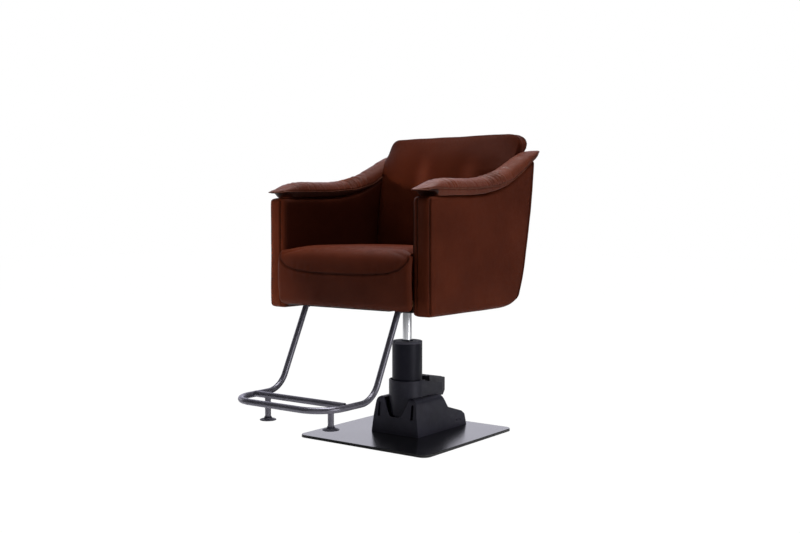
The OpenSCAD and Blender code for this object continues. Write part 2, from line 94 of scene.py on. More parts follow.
area("top_box", (0.0, 0.05, 3.1), (0, 0.0, 0.7), (2.2, 1.6), 112)
area("right_box", (3.6, -0.25, 0.85), (0.3, 0, 0.55), (1.8, 1.3), 50)
area("front_box", (1.4, -3.6, 0.8), (0, -0.3, 0.55), (1.4, 0.9), 5)
area("left_box", (-3.2, -0.7, 0.9), (0, -0.3, 0.6), (1.2, 1.2), 10)
area("left_kick", (-2.0, -2.4, 0.75), (-0.455, -0.33, 0.60), (0.25, 0.8), 1.3, 9)
for ob in bpy.data.objects:
    if ob.type == "LIGHT" and ob.name.startswith("left_kick"):
        ob.visible_glossy = False

world = bpy.data.worlds.new("world")
scene.world = world
world.use_nodes = True
wn, wl = world.node_tree.nodes, world.node_tree.links
wn.clear()


def wnode(kind, **props):
    n = wn.new(kind)
    for k, v in props.items():
        setattr(n, k, v)
    return n


w_out = wnode("ShaderNodeOutputWorld")
w_lp = wnode("ShaderNodeLightPath")
w_tc = wnode("ShaderNodeTexCoord")
# a white backdrop behind the chair, and a dim room everywhere else
w_dot = wnode("ShaderNodeVectorMath", operation="DOT_PRODUCT")
w_dot.inputs[1].default_value = (-0.62, 0.78, 0.0)
wl.new(w_tc.outputs["Generated"], w_dot.inputs[0])
w_range = wnode("ShaderNodeMapRange", interpolation_type="SMOOTHSTEP")
w_range.inputs["From Min"].default_value = 0.45
w_range.inputs["From Max"].default_value = 0.93
w_range.inputs["To Min"].default_value = 0.05
w_range.inputs["To Max"].default_value = 1.15
wl.new(w_dot.outputs["Value"], w_range.inputs["Value"])
w_room = wnode("ShaderNodeBackground")
w_room.inputs["Color"].default_value = (0.95, 0.94, 1.06, 1)
wl.new(w_range.outputs[0], w_room.inputs["Strength"])
w_amb = wnode("ShaderNodeBackground")
w_amb.inputs["Color"].default_value = (1, 1, 1, 1)
w_amb.inputs["Strength"].default_value = 0.05
w_cam = wnode("ShaderNodeBackground")
w_cam.inputs["Color"].default_value = (1, 1, 1, 1)
w_cam.inputs["Strength"].default_value = 1.0
w_m1 = wnode("ShaderNodeMixShader")
w_m2 = wnode("ShaderNodeMixShader")
wl.new(w_lp.outputs["Is Glossy Ray"], w_m1.inputs[0])
wl.new(w_amb.outputs[0], w_m1.inputs[1])
wl.new(w_room.outputs[0], w_m1.inputs[2])
wl.new(w_lp.outputs["Is Camera Ray"], w_m2.inputs[0])
wl.new(w_m1.outputs[0], w_m2.inputs[1])
wl.new(w_cam.outputs[0], w_m2.inputs[2])
wl.new(w_m2.outputs[0], w_out.inputs[0])

# --------------------------------------------------------------------------
# materials
# --------------------------------------------------------------------------


class Mat:
    """A small helper for building node materials."""

    def __init__(self, name):
        self.m = bpy.data.materials.new(name)
        self.m.use_nodes = True
        self.n, self.l = self.m.node_tree.nodes, self.m.node_tree.links
        self.n.clear()
        self.out = self.n.new("ShaderNodeOutputMaterial")
        self.b = self.n.new("ShaderNodeBsdfPrincipled")
        self.l.new(self.b.outputs[0], self.out.inputs[0])
        self.tc = self.n.new("ShaderNodeTexCoord")
        self.height = None

    def noise(self, scale, detail=4.0, rough=0.55, distortion=0.0, vec=None):
        t = self.n.new("ShaderNodeTexNoise")
        t.inputs["Scale"].default_value = scale
        t.inputs["Detail"].default_value = detail
        t.inputs["Roughness"].default_value = rough
        t.inputs["Distortion"].default_value = distortion
        self.l.new(vec or self.tc.outputs["Object"], t.inputs["Vector"])
        return t.outputs[0]

    def voronoi(self, scale, feature="F1", rand=1.0, vec=None):
        t = self.n.new("ShaderNodeTexVoronoi")
        t.feature = feature
        t.inputs["Scale"].default_value = scale
        t.inputs["Randomness"].default_value = rand
        self.l.new(vec or self.tc.outputs["Object"], t.inputs["Vector"])
        return t.outputs["Distance"]

    def scaled(self, s):
        t = self.n.new("ShaderNodeMapping")
        t.inputs["Scale"].default_value = s
        self.l.new(self.tc.outputs["Object"], t.inputs["Vector"])
        return t.outputs[0]

    def ramp(self, fac, stops):
        r = self.n.new("ShaderNodeValToRGB")
        e = r.color_ramp.elements
        while len(e) < len(stops):
            e.new(0.5)
        for i, (p, c) in enumerate(stops):
            e[i].position = p
            e[i].color = c if len(c) == 4 else (*c, 1)
        self.l.new(fac, r.inputs[0])
        return r.outputs[0]

    def math(self, op, a, b=None, c=None, clamp=False):
        m = self.n.new("ShaderNodeMath")
        m.operation = op
        m.use_clamp = clamp
        for i, v in enumerate((a, b, c)):
            if v is None:
                continue
            if isinstance(v, (int, float)):
                m.inputs[i].default_value = v
            else:
                self.l.new(v, m.inputs[i])
        return m.outputs[0]

    def range(self, fac, lo, hi, a=0.0, b=1.0):
        r = self.n.new("ShaderNodeMapRange")
        r.inputs["From Min"].default_value = a
        r.inputs["From Max"].default_value = b
        r.inputs["To Min"].default_value = lo
        r.inputs["To Max"].default_value = hi
        self.l.new(fac, r.inputs["Value"])
        return r.outputs[0]

    def mix(self, fac, a, b, mode="MIX"):
        m = self.n.new("ShaderNodeMix")
        m.data_type = "RGBA"
        m.blend_type = mode
        for sock, v in ((m.inputs[0], fac), (m.inputs[6], a), (m.inputs[7], b)):
            if isinstance(v, (int, float)):
                sock.default_value = v
            elif isinstance(v, tuple):
                sock.default_value = v if len(v) == 4 else (*v, 1)
            else:
                self.l.new(v, sock)
        return m.outputs[2]

    def bump(self, height, strength, distance):
        b = self.n.new("ShaderNodeBump")
        b.inputs["Strength"].default_value = strength
        b.inputs["Distance"].default_value = distance
        self.l.new(height, b.inputs["Height"])
        if self.height is not None:
            self.l.new(self.height, b.inputs["Normal"])
        self.height = b.outputs[0]
        self.l.new(self.height, self.b.inputs["Normal"])

    def set(self, **kw):
        names = {
            "color": "Base Color", "rough": "Roughness", "metal": "Metallic",
            "spec": "Specular IOR Level", "coat": "Coat Weight",
            "coat_rough": "Coat Roughness", "sheen": "Sheen Weight",
            "sheen_rough": "Sheen Roughness", "ior": "IOR", "aniso": "Anisotropic",
            "tint": "Specular Tint",
        }
        for k, v in kw.items():
            s = self.b.inputs[names[k]]
            if isinstance(v, bpy.types.NodeSocket):
                self.l.new(v, s)
            elif isinstance(v, tuple):
                s.default_value = v if len(v) == 4 else (*v, 1)
            else:
                s.default_value = v
        return self


def leather(name, base=(0.073, 0.0148, 0.0062), rough=0.43, fold=1.0, spec=0.04):
    m = Mat(name)
    light = (base[0] * 1.36, base[1] * 1.46, base[2] * 1.55)
    dark = (base[0] * 0.62, base[1] * 0.58, base[2] * 0.60)
    big = m.noise(5.5, 3.0, 0.5)
    mid = m.noise(38.0, 4.0, 0.6)
    col = m.mix(m.range(big, 0.0, 1.0, 0.32, 0.7), dark, light)
    col = m.mix(m.range(mid, 0.35, 0.75, 0.3, 0.7), col, base)
    # pores a shade darker, and seams darker where the geometry says so; the same seam attribute also carries painted
    # shade on faces that lie in shadow
    cells = m.voronoi(620.0, "DISTANCE_TO_EDGE", 0.95)
    pores = m.range(cells, 0.0, 1.0, 0.0, 0.12)
    col = m.mix(m.range(pores, 0.20, 0.0), col, tuple(c * 0.55 for c in dark))
    at = m.n.new("ShaderNodeAttribute")
    at.attribute_name = "seam"
    col = m.mix(m.range(at.outputs["Fac"], 0.0, 0.97), col, tuple(c * 0.28 for c in dark))
    # a little polish where it is rubbed, on the crests, and painted highlight on lit faces where the mask marks them
    wr = m.n.new("ShaderNodeAttribute")
    wr.attribute_name = "wear_and_painted_highlight"
    wear_and_painted_highlight_mask = m.math("MULTIPLY", wr.outputs["Fac"], m.range(mid, 0.2, 1.0, 0.3, 0.7))
    col = m.mix(m.range(wear_and_painted_highlight_mask, 0.0, 0.4), col, tuple(min(1, c * 1.35) for c in light))
    # painted highlight: the soft attribute lifts the colour to two to four times the base, in place of lamp light
    painted_highlight_attr = m.n.new("ShaderNodeAttribute")
    painted_highlight_attr.attribute_name = "soft"
    col = m.mix(m.range(painted_highlight_attr.outputs["Fac"], 0.0, 1.0), col, (base[0] * 2.3, base[1] * 2.9, base[2] * 3.9))
    r = m.range(m.noise(90.0, 3.0, 0.6), rough - 0.05, rough + 0.09, 0.3, 0.7)
    r = m.math("SUBTRACT", r, m.range(wear_and_painted_highlight_mask, 0.0, 0.08))
    m.set(color=col, rough=r, spec=spec, sheen=0.0)
    m.bump(m.noise(24.0, 3.0, 0.5, 0.6), 0.16 * fold, 0.004)
    m.bump(pores, 0.34, 0.0005)
    m.bump(m.noise(1500.0, 2.0, 0.5), 0.12, 0.0002)
    return m.m


def thread():
    m = Mat("tonal_thread")
    v = m.noise(900.0, 2.0, 0.5)
    m.set(color=m.mix(v, (0.026, 0.0062, 0.0032), (0.042, 0.0105, 0.0052)), rough=0.7, sheen=0.0, spec=0.03)
    m.bump(m.n.new("ShaderNodeTexWave").outputs["Fac"], 0.3, 0.0003)
    return m.m


def plastic(name, base, rough=0.5, grain=700.0, strength=0.22, vary=0.4, spec=0.5):
    m = Mat(name)
    v = m.noise(14.0, 4.0, 0.55)
    col = m.mix(m.range(v, 0.0, 1.0, 0.3, 0.7), tuple(c * (1 - vary * 0.4) for c in base), tuple(c * (1 + vary) for c in base))
    dust = m.noise(120.0, 5.0, 0.7)
    col = m.mix(m.range(dust, 0.0, 0.10, 0.55, 0.75), col, (0.12, 0.115, 0.12))
    m.set(color=col, rough=m.range(m.noise(45.0, 4.0, 0.6), rough - 0.06, rough + 0.08, 0.3, 0.7), spec=spec,
          tint=(0.90, 0.88, 1.0))
    m.bump(m.voronoi(grain, "SMOOTH_F1", 1.0), strength, 0.00025)
    m.bump(m.noise(12.0, 2.0, 0.5), 0.03, 0.002)
    return m.m


def painted(name, base, rough=0.3, metal=0.0, orange=420.0, coat=0.3, speck=0.06, spec=0.5, bump=0.10, dust=1.0):
    m = Mat(name)
    v = m.noise(9.0, 5.0, 0.6)
    col = m.mix(m.range(v, 0.0, 1.0, 0.3, 0.7), tuple(c * 0.8 for c in base), tuple(c * 1.25 for c in base))
    sp = m.noise(260.0, 5.0, 0.75)
    col = m.mix(m.range(sp, 0.0, speck * 2 * dust, 0.62, 0.8), col, (0.16, 0.155, 0.16))
    m.set(color=col, metal=metal, rough=m.range(m.noise(30.0, 5.0, 0.65), rough - 0.05, rough + 0.09, 0.3, 0.7),
          coat=coat, coat_rough=0.22, spec=spec, tint=(0.90, 0.88, 1.0))
    m.bump(m.noise(orange, 2.0, 0.5), bump, 0.0003)
    return m.m


def plate_paint():
    """Smooth satin powder coat, with no more than a faint bloom in its gloss."""
    m = Mat("plate_black")
    v = m.noise(3.0, 2.0, 0.5)
    m.set(color=m.mix(m.range(v, 0.0, 1.0, 0.3, 0.7), (0.0074, 0.0074, 0.0094), (0.0096, 0.0096, 0.0118)),
          rough=m.range(m.noise(5.0, 3.0, 0.5), 0.235, 0.265, 0.3, 0.7), coat=0.45, coat_rough=0.20, spec=0.5)
    return m.m


def metal(name, base, rough=0.2, brushed=(1, 1, 1), strength=0.05, scale=300.0, aniso=0.0):
    m = Mat(name)
    vec = m.scaled(brushed)
    v = m.noise(scale, 4.0, 0.6, vec=vec)
    col = m.mix(m.range(v, 0.0, 1.0, 0.3, 0.7), tuple(c * 0.9 for c in base), base)
    m.set(color=col, metal=1.0, rough=m.range(v, rough * 0.8, rough * 1.3, 0.3, 0.7), aniso=aniso)
    m.bump(v, strength, 0.0003)
    return m.m


def wood(name):
    m = Mat(name)
    g = m.noise(30.0, 5.0, 0.6, 0.8, vec=m.scaled((1.0, 0.12, 1.0)))
    m.set(color=m.mix(g, (0.42, 0.27, 0.14), (0.62, 0.44, 0.26)), rough=m.range(g, 0.5, 0.72))
    m.bump(g, 0.25, 0.001)
    return m.m


def cloth_black(name):
    m = Mat(name)
    w = m.voronoi(900.0, "F1", 0.2)
    m.set(color=m.mix(w, (0.008, 0.008, 0.009), (0.03, 0.03, 0.032)), rough=m.range(w, 0.85, 0.98), sheen=0.25)
    m.bump(w, 0.5, 0.0004)
    return m.m


M = {
    "leather": leather("leather_brown"),
    # painted shade and painted light: the back, the inner panels and the far pad take darker copies, and the near pad
    # a lighter copy, of the one brown leather, for the shade and light that fall on them
    "leather_back_painted_shade": leather("leather_brown_back_painted_shade", base=(0.0350, 0.0067, 0.0026), spec=0.015),
    "leather_side": leather("leather_brown_side", base=(0.073, 0.0146, 0.0058), rough=0.45, spec=0.03),
    "leather_inner_painted_shade": leather("leather_brown_inner_painted_shade", base=(0.024, 0.0044, 0.0018), rough=0.48, spec=0.02),
    "leather_pad_painted_light": leather("leather_brown_pad_painted_light", base=(0.094, 0.0212, 0.0092), rough=0.41, spec=0.16),
    "leather_pad_far_painted_shade": leather("leather_brown_pad_far_painted_shade", base=(0.066, 0.0138, 0.0056), rough=0.43, spec=0.10),
    "thread": thread(),
    "piping": leather("leather_piping", base=(0.105, 0.0300, 0.0150), rough=0.42, fold=0.4, spec=0.15),
    "plate": plate_paint(),
    "sleeve": painted("sleeve_black", (0.0036, 0.0038, 0.0078), 0.42, 0.0, 420.0, 0.0, spec=0.18),
    "cap": painted("cap_black", (0.056, 0.054, 0.068), 0.6, 0.0, 420.0, 0.0, spec=0.10),
    "tube": painted("tube_gunmetal", (0.100, 0.096, 0.118), 0.33, 0.6, 380.0, 0.25, bump=0.03, dust=0.35),
    "shroud": plastic("shroud_plastic", (0.0159, 0.0152, 0.0249), 0.44, spec=0.42),
    "collar": plastic("collar_plastic", (0.0074, 0.0073, 0.0132), 0.43, spec=0.32),
    "tread": plastic("tread_plastic", (0.0160, 0.0155, 0.0200), 0.5, 500.0, 0.3),
    "rubber": plastic("rubber_black", (0.0065, 0.0065, 0.0075), 0.62, 900.0, 0.3),
    # painted shade: the shroud screws are near black, to read as the shade down in their holes
    "recess_painted_shade": plastic("recess_black_painted_shade", (0.0018, 0.0018, 0.0020), 0.8, 900.0, 0.1, spec=0.1),
    "chrome": metal("chrome_bright", (0.86, 0.87, 0.90), 0.07, (1, 1, 0.05), 0.02, 260.0),
    "steel": metal("steel_bare", (0.55, 0.55, 0.57), 0.3, (1, 1, 1), 0.08, 220.0),
    "iron": painted("cast_iron", (0.05, 0.05, 0.055), 0.6, 0.5, 160.0, 0.0),
    "bronze": metal("bronze_bush", (0.58, 0.38, 0.16), 0.28),
    "wood": wood("ply_wood"),
    "cover": cloth_black("dust_cover"),
}

NODE_MAT = {
    "base_plate": "plate", "pump_base": "iron", "pump_bolts": "steel", "pump_cylinder": "steel",
    "reservoir_sleeve": "sleeve", "sleeve_cap": "cap", "guide_bush": "bronze", "wiper_seal": "rubber",
    "lower_shroud": "shroud", "upper_shroud": "collar", "shroud_screws": "recess_painted_shade",
    "pedal_brackets": "iron", "pedal_pin": "steel", "pedal_spring": "steel", "pump_plunger": "steel",
    "pedal_lever": "iron", "pedal_tread": "tread", "ram_rod": "chrome", "ram_piston": "steel",
    "piston_seal": "rubber", "thrust_washer": "bronze", "swivel_hub": "iron", "seat_mount_plate": "cap",
    "mount_bolts": "steel", "seat_board": "wood", "bottom_cover": "cover",
    "left_arm_frame": "wood", "right_arm_frame": "wood", "back_frame": "wood",
    "footrest_sockets": "cap", "socket_screws": "steel", "footrest_left_tube": "tube",
    "footrest_right_tube": "tube", "footrest_front_bow": "tube", "footrest_cross_bar": "tube",
    "footrest_posts": "tube", "footrest_feet": "shroud",
}
for node, key in NODE_MAT.items():
    o = frame["nodes"][node]
    o.data.materials.clear()
    o.data.materials.append(M[key])

# --------------------------------------------------------------------------
# mesh tools
# --------------------------------------------------------------------------


def new_obj(name, verts, faces, mat, smooth=True):
    me = bpy.data.meshes.new(name)
    me.from_pydata([tuple(v) for v in verts], [], [tuple(f) for f in faces])
    me.validate()
    me.update()
    o = bpy.data.objects.new(name, me)
    scene.collection.objects.link(o)
    me.materials.append(mat)
    if smooth:
        me.polygons.foreach_set("use_smooth", [True] * len(me.polygons))
    return o


def box_lattice(nx, ny, nz):
    """Vertices (in -1..1) and quads of a cube's surface with nx, ny and nz cells."""
    index, verts, faces = {}, [], []

    def vid(i, j, k):
        key = (i, j, k)
        if key not in index:
            index[key] = len(verts)
            verts.append((2 * i / nx - 1, 2 * j / ny - 1, 2 * k / nz - 1))
        return index[key]

    for k, flip in ((0, True), (nz, False)):
        for i in range(nx):
            for j in range(ny):
                q = [vid(i, j, k), vid(i + 1, j, k), vid(i + 1, j + 1, k), vid(i, j + 1, k)]
                faces.append(q[::-1] if flip else q)
    for j, flip in ((0, False), (ny, True)):
        for i in range(nx):
            for k in range(nz):
                q = [vid(i, j, k), vid(i + 1, j, k), vid(i + 1, j, k + 1), vid(i, j, k + 1)]
                faces.append(q[::-1] if flip else q)
    for i, flip in ((0, True), (nx, False)):
        for j in range(ny):
            for k in range(nz):
                q = [vid(i, j, k), vid(i, j + 1, k), vid(i, j + 1, k + 1), vid(i, j, k + 1)]
                faces.append(q[::-1] if flip else q)
    return np.array(verts, float), faces


def round_box(u, half, r):
    """Maps lattice coordinates to a box of those half sizes with rounded edges of radius r, which may differ by axis."""
    half = np.array(half, float)
    r = np.minimum(np.broadcast_to(np.array(r, float), (3,)), half * 0.999)
    p = u * half
    q = np.clip(p, -(half - r), half - r)
    d = (p - q) / r
    n = np.linalg.norm(d, axis=1)
    ok = n > 1e-9
    d[ok] = d[ok] / n[ok][:, None] * np.minimum(1, n[ok])[:, None] ** 0
    d[~ok] = 0
    # a point on a flat face keeps its place; only edge bands are drawn onto the round
    return q + d * r


def smoothstep(a, b, x):
    t = np.clip((x - a) / (b - a), 0, 1)
    return t * t * (3 - 2 * t)


def get_co(o):
    co = np.empty(len(o.data.vertices) * 3)
    o.data.vertices.foreach_get("co", co)
    return co.reshape(-1, 3)


def set_co(o, co):
    o.data.vertices.foreach_set("co", np.asarray(co, float).ravel())
    o.data.update()


def get_no(o):
    no = np.empty(len(o.data.vertices) * 3)
    o.data.vertices.foreach_get("normal", no)
    return no.reshape(-1, 3)


def subdivide(o, levels=1):
    mod = o.modifiers.new("sub", "SUBSURF")
    mod.levels = mod.render_levels = levels
    apply_mods(o)


def apply_mods(o):
    dg = bpy.context.evaluated_depsgraph_get()
    me = bpy.data.meshes.new_from_object(o.evaluated_get(dg))
    mats = list(o.data.materials)
    o.modifiers.clear()
    old = o.data
    o.data = me
    me.name = o.name
    if not len(me.materials):
        for m in mats:
            me.materials.append(m)
    bpy.data.meshes.remove(old)
    me.polygons.foreach_set("use_smooth", [True] * len(me.polygons))
    me.update()


def settle(o, d, hold, rounds):
    """Evens out a displacement over the mesh, so that only its broad swells are left."""
    me = o.data
    e = np.empty(len(me.edges) * 2, np.int32)
    me.edges.foreach_get("vertices", e)
    e = e.reshape(-1, 2)
    deg = np.maximum(np.bincount(e.ravel(), minlength=len(d)), 1)[:, None]
    free = (1 - np.clip(np.asarray(hold, float), 0, 1))[:, None]
    for _ in range(rounds):
        acc = np.zeros_like(d)
        np.add.at(acc, e[:, 0], d[e[:, 1]])
        np.add.at(acc, e[:, 1], d[e[:, 0]])
        d = d + (acc / deg - d) * 0.5 * free
    return d


def simulate(o, pin, pressure=4.0, frames=20, cap=0.010, stiff=40.0, bend=0.6, even=0):
    """Blows the cloth up between its pinned seams, and caps how far a point may move."""
    rest = get_co(o)
    g = o.vertex_groups.new(name="pin")
    for i, w in enumerate(pin):
        if w > 0.01:
            g.add([i], float(min(1, w)), "REPLACE")
    mod = o.modifiers.new("cloth", "CLOTH")
    s = mod.settings
    s.quality = 5
    s.mass = 0.3
    s.tension_stiffness = stiff
    s.compression_stiffness = stiff
    s.shear_stiffness = stiff * 0.5
    s.bending_stiffness = bend
    s.use_pressure = True
    s.uniform_pressure_force = pressure
    s.vertex_group_mass = "pin"
    s.effector_weights.gravity = 0
    mod.collision_settings.use_collision = False
    mod.collision_settings.use_self_collision = False
    mod.point_cache.frame_start = 1
    mod.point_cache.frame_end = frames
    for f in range(1, frames + 1):
        scene.frame_set(f)
    dg = bpy.context.evaluated_depsgraph_get()
    ev = o.evaluated_get(dg)
    co = np.empty(len(o.data.vertices) * 3)
    ev.data.vertices.foreach_get("co", co)
    co = co.reshape(-1, 3)
    o.modifiers.clear()
    o.vertex_groups.clear()
    scene.frame_set(1)
    d = settle(o, co - rest, pin, even)
    n = np.linalg.norm(d, axis=1)
    k = np.where(n > 1e-9, cap * np.tanh(n / cap) / np.maximum(n, 1e-9), 1)
    set_co(o, rest + d * k[:, None])


def dist_to(points, poly, step=0.0015):
    """Distance from each point to a polyline."""
    poly = [Vector(p) for p in poly]
    dense = []
    for a, b in zip(poly, poly[1:]):
        n = max(1, int((b - a).length / step))
        dense += [a.lerp(b, i / n) for i in range(n)]
    dense.append(poly[-1])
    kd = kdtree.KDTree(len(dense))
    for i, p in enumerate(dense):
        kd.insert(p, i)
    kd.balance()
    return np.array([kd.find(p)[2] for p in points])


def attr(o, name, values):
    a = o.data.attributes.get(name) or o.data.attributes.new(name, "FLOAT", "POINT")
    a.data.foreach_set("value", np.asarray(values, np.float32))


def groove(o, seams, depth=0.0022, width=0.0028, ridge=0.0):
    """Sinks the surface along each seam and stores how close each point is to one."""
    co, no = get_co(o), get_no(o)
    d = np.full(len(co), 9.0)
    for s in seams:
        d = np.minimum(d, dist_to(co, s))
    g = np.exp(-((d / width) ** 2))
    lip = np.exp(-(((d - width * 2.4) / (width * 1.3)) ** 2))
    co = co - no * (g * depth)[:, None] + no * (lip * ridge)[:, None]
    set_co(o, co)
    seam = np.exp(-((d / (width * 0.75)) ** 2))
    attr(o, "seam", seam)
    return d


def wrinkle(o, amp=0.0007, scale=14.0, seed=0.0, mask=None):
    co, no = get_co(o), get_no(o)
    v = np.array([noise.noise(Vector((p[0] * scale + seed, p[1] * scale, p[2] * scale))) +
                  0.45 * noise.noise(Vector((p[0] * scale * 2.3 + seed, p[1] * scale * 2.3 + 7, p[2] * scale * 2.3)))
                  for p in co])
    if mask is not None:
        v = v * mask
    set_co(o, co + no * (v * amp)[:, None])


def wear_and_painted_highlight_attr(o, mask):
    attr(o, "wear_and_painted_highlight", np.clip(mask, 0, 1))


def snap_path(o, path):
    """The nearest points of the piece's own surface along a path, with their normals."""
    out = []
    for p in path:
        ok, loc, nor, _ = o.closest_point_on_mesh(Vector(p))
        out.append((loc.copy(), nor.copy()) if ok else (Vector(p), Vector((0, 0, 1))))
    return out


def resample(path, step):
    path = [Vector(p) for p in path]
    seg = [(b - a).length for a, b in zip(path, path[1:])]
    total = sum(seg)
    n = max(2, int(round(total / step)))
    out, i, acc = [], 0, 0.0
    for k in range(n + 1):
        t = total * k / n
        while i < len(seg) - 1 and acc + seg[i] < t:
            acc += seg[i]
            i += 1
        out.append(path[i].lerp(path[i + 1], min(1, max(0, (t - acc) / max(seg[i], 1e-9)))))
    return out


def tube_mesh(paths, r, sides=8):
    """Tubes along open paths of (point, normal), as one list of vertices and faces with round ends."""
    verts, faces = [], []
    for path in paths:
        n = len(path)
        base = len(verts)
        for i, p in enumerate(path):
            a, b = path[max(i - 1, 0)], path[min(i + 1, n - 1)]
            t = (b - a).normalized()
            s = t.cross(Vector((0, 0, 1)))
            if s.length < 1e-4:
                s = t.cross(Vector((0, 1, 0)))
            s.normalize()
            w = s.cross(t)
            e = min(i, n - 1 - i)
            rr = r * (0.35 if e == 0 else 1.0)
            for j in range(sides):
                an = 2 * math.pi * j / sides
                verts.append(p + s * (math.cos(an) * rr) + w * (math.sin(an) * rr))
        for i in range(n - 1):
            for j in range(sides):
                a = base + i * sides + j
                b = base + i * sides + (j + 1) % sides
                faces.append((a, b, b + sides, a + sides))
        faces.append(tuple(base + j for j in range(sides))[::-1])
        faces.append(tuple(base + (n - 1) * sides + j for j in range(sides)))
    return verts, faces


def stitches(name, host, seams, offset=0.0035, pitch=0.0046, length=0.0032, r=0.00042, both=True):
    """Rows of short threads beside each seam, laid on the host's own surface."""
    paths = []
    for seam in seams:
        pts = snap_path(host, resample(seam, pitch))
        for i in range(len(pts) - 1):
            (a, na), (b, nb) = pts[i], pts[i + 1]
            t = (b - a)
            if t.length < 1e-5:
                continue
            t.normalize()
            nrm = (na + nb).normalized()
            side = t.cross(nrm).normalized()
            mid = (a + b) / 2
            for sgn in ((-1, 1) if both else (1,)):
                c = mid + side * (offset * sgn)
                ok, loc, nor, _ = host.closest_point_on_mesh(c)
                if not ok:
                    continue
                tt = (t - nor * t.dot(nor)).normalized()
                h = length / 2
                paths.append([loc - tt * h - nor * 0.0002, loc - tt * h * 0.5 + nor * 0.00035,
                              loc + tt * h * 0.5 + nor * 0.00035, loc + tt * h - nor * 0.0002])
    v, f = tube_mesh(paths, r, 5)
    return new_obj(name, v, f, M["thread"])


def cord_on(name, host, path, r, mat, lift=0.0, step=0.004):
    """A continuous welt laid on the host's surface along a path."""
    pts = [p + n * lift for p, n in snap_path(host, resample(path, step))]
    v, f = tube_mesh([pts], r, 8)
    return new_obj(name, v, f, mat)


def interp(table, x):
    xs, ys = zip(*table)
    return np.interp(x, xs, ys)


def smooth_table(table, x, w=0.02):
    """A table read with a soft moving average, so that the curve has no corners."""
    xs, ys = zip(*table)
    x = np.asarray(x, float)
    offs = np.linspace(-1.5, 1.5, 13)
    k = np.exp(-offs ** 2 / 0.9)
    k /= k.sum()
    return sum(kk * np.interp(x + o * w, xs, ys) for kk, o in zip(k, offs))

# --------------------------------------------------------------------------
# upholstery
# --------------------------------------------------------------------------

UPH = []          # every soft piece


def keep(o, fill, *nodes, slot="brown_leather"):
    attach(o, "seat")
    if nodes:
        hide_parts(*nodes)
    UPH.append(o)
    return o


def trim(o):
    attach(o, "seat")
    return o


def lattice_obj(name, n, half, r, mapper, mat):
    u, faces = box_lattice(*n)
    p = round_box(u, half, r)
    t = p / np.array(half)
    co = mapper(t, u)
    o = new_obj(name, co, faces, mat)
    bm = bmesh.new()
    bm.from_mesh(o.data)
    bmesh.ops.recalc_face_normals(bm, faces=bm.faces)
    bm.to_mesh(o.data)
    bm.free()
    return o


# ---- seat cushion -------------------------------------------------------

SMILE = [(-0.2605, 0.6220), (-0.2560, 0.6080), (-0.2420, 0.5900), (-0.2220, 0.5760), (-0.1830, 0.5650), (-0.1060, 0.5585),
         (-0.0310, 0.5570), (0.0, 0.5570), (0.0310, 0.5570), (0.1060, 0.5585), (0.1830, 0.5650), (0.2220, 0.5760),
         (0.2420, 0.5900), (0.2560, 0.6080), (0.2605, 0.6220)]


def seat_map(t, u):
    a, b, c = t[:, 0], t[:, 1], t[:, 2]
    y = -0.102 + 0.2490 * b
    nose = smoothstep(-0.3265, -0.3385, y)
    x = a * (0.2485 + 0.0240 * nose * smoothstep(0.2, 0.9, np.abs(a)))
    zb = 0.4825 - 0.0350 * smoothstep(-0.3120, -0.3290, y)
    zt = 0.6330 - 0.004 * smoothstep(-0.05, 0.14, y)
    z = (zb + zt) / 2 + c * (zt - zb) / 2
    # the nose rolls over: its upper front edge is drawn back on a big soft radius
    top = smoothstep(0.25, 1.0, c)
    y = y + 0.010 * top * smoothstep(-0.20, -0.34, y)
    y = y - 0.0055 * smoothstep(-0.3000, -0.3350, y)
    # the front leans in towards the foot
    y = y + 0.008 * smoothstep(0.1, -1.0, c) * smoothstep(-0.30, -0.35, y)
    return np.stack([x, y, z], 1)


seat = lattice_obj("seat_cushion_leather", (72, 60, 30), (0.2490, 0.2490, 0.0780), (0.018, 0.034, 0.024), seat_map, M["leather"])
smile = [Vector((x * 1.016, -0.3570, z)) for x, z in SMILE]
smile = [p for p, _ in snap_path(seat, resample(smile, 0.006))]
side_runs = []
for s in (-1, 1):
    run = [Vector((s * 0.270, -0.342, 0.622)), Vector((s * 0.262, -0.328, 0.622)), Vector((s * 0.2485, -0.30, 0.620)), Vector((s * 0.2485, 0.10, 0.616))]
    side_runs.append([p for p, _ in snap_path(seat, resample(run, 0.008))])
co = get_co(seat)
d_seam = np.minimum(dist_to(co, smile), np.minimum(dist_to(co, side_runs[0]), dist_to(co, side_runs[1])))
pin = np.exp(-((d_seam / 0.006) ** 2))
pin = np.maximum(pin, (co[:, 2] < 0.4845) * 1.0)
pin = np.maximum(pin, (co[:, 1] > 0.140) * 1.0)
pin = np.maximum(pin, smoothstep(0.482, 0.454, co[:, 2]) * (co[:, 1] < -0.30))
simulate(seat, pin, pressure=4.0, cap=0.012, stiff=25.0)
co = get_co(seat)
# sides stay inside the arms, and a sitter has left a faint hollow towards the back
inner = co[:, 1] > -0.3270
co[:, 0] = np.where(inner, np.clip(co[:, 0], -0.2492, 0.2492), np.clip(co[:, 0], -0.2730, 0.2730))
co[:, 1] = np.minimum(np.maximum(co[:, 1], -0.3650), 0.1475)
hollow = np.exp(-((co[:, 0] / 0.15) ** 2) - (((co[:, 1] + 0.06) / 0.13) ** 2))
co[:, 2] -= 0.005 * hollow * (co[:, 2] > 0.6)
co[:, 2] = np.minimum(co[:, 2], 0.6445)
set_co(seat, co)
subdivide(seat, 1)
smile = [p for p, _ in snap_path(seat, smile)]
side_runs = [[p for p, _ in snap_path(seat, r)] for r in side_runs]
co = get_co(seat)
wrinkle(seat, 0.0011, 9.0, 3.0)
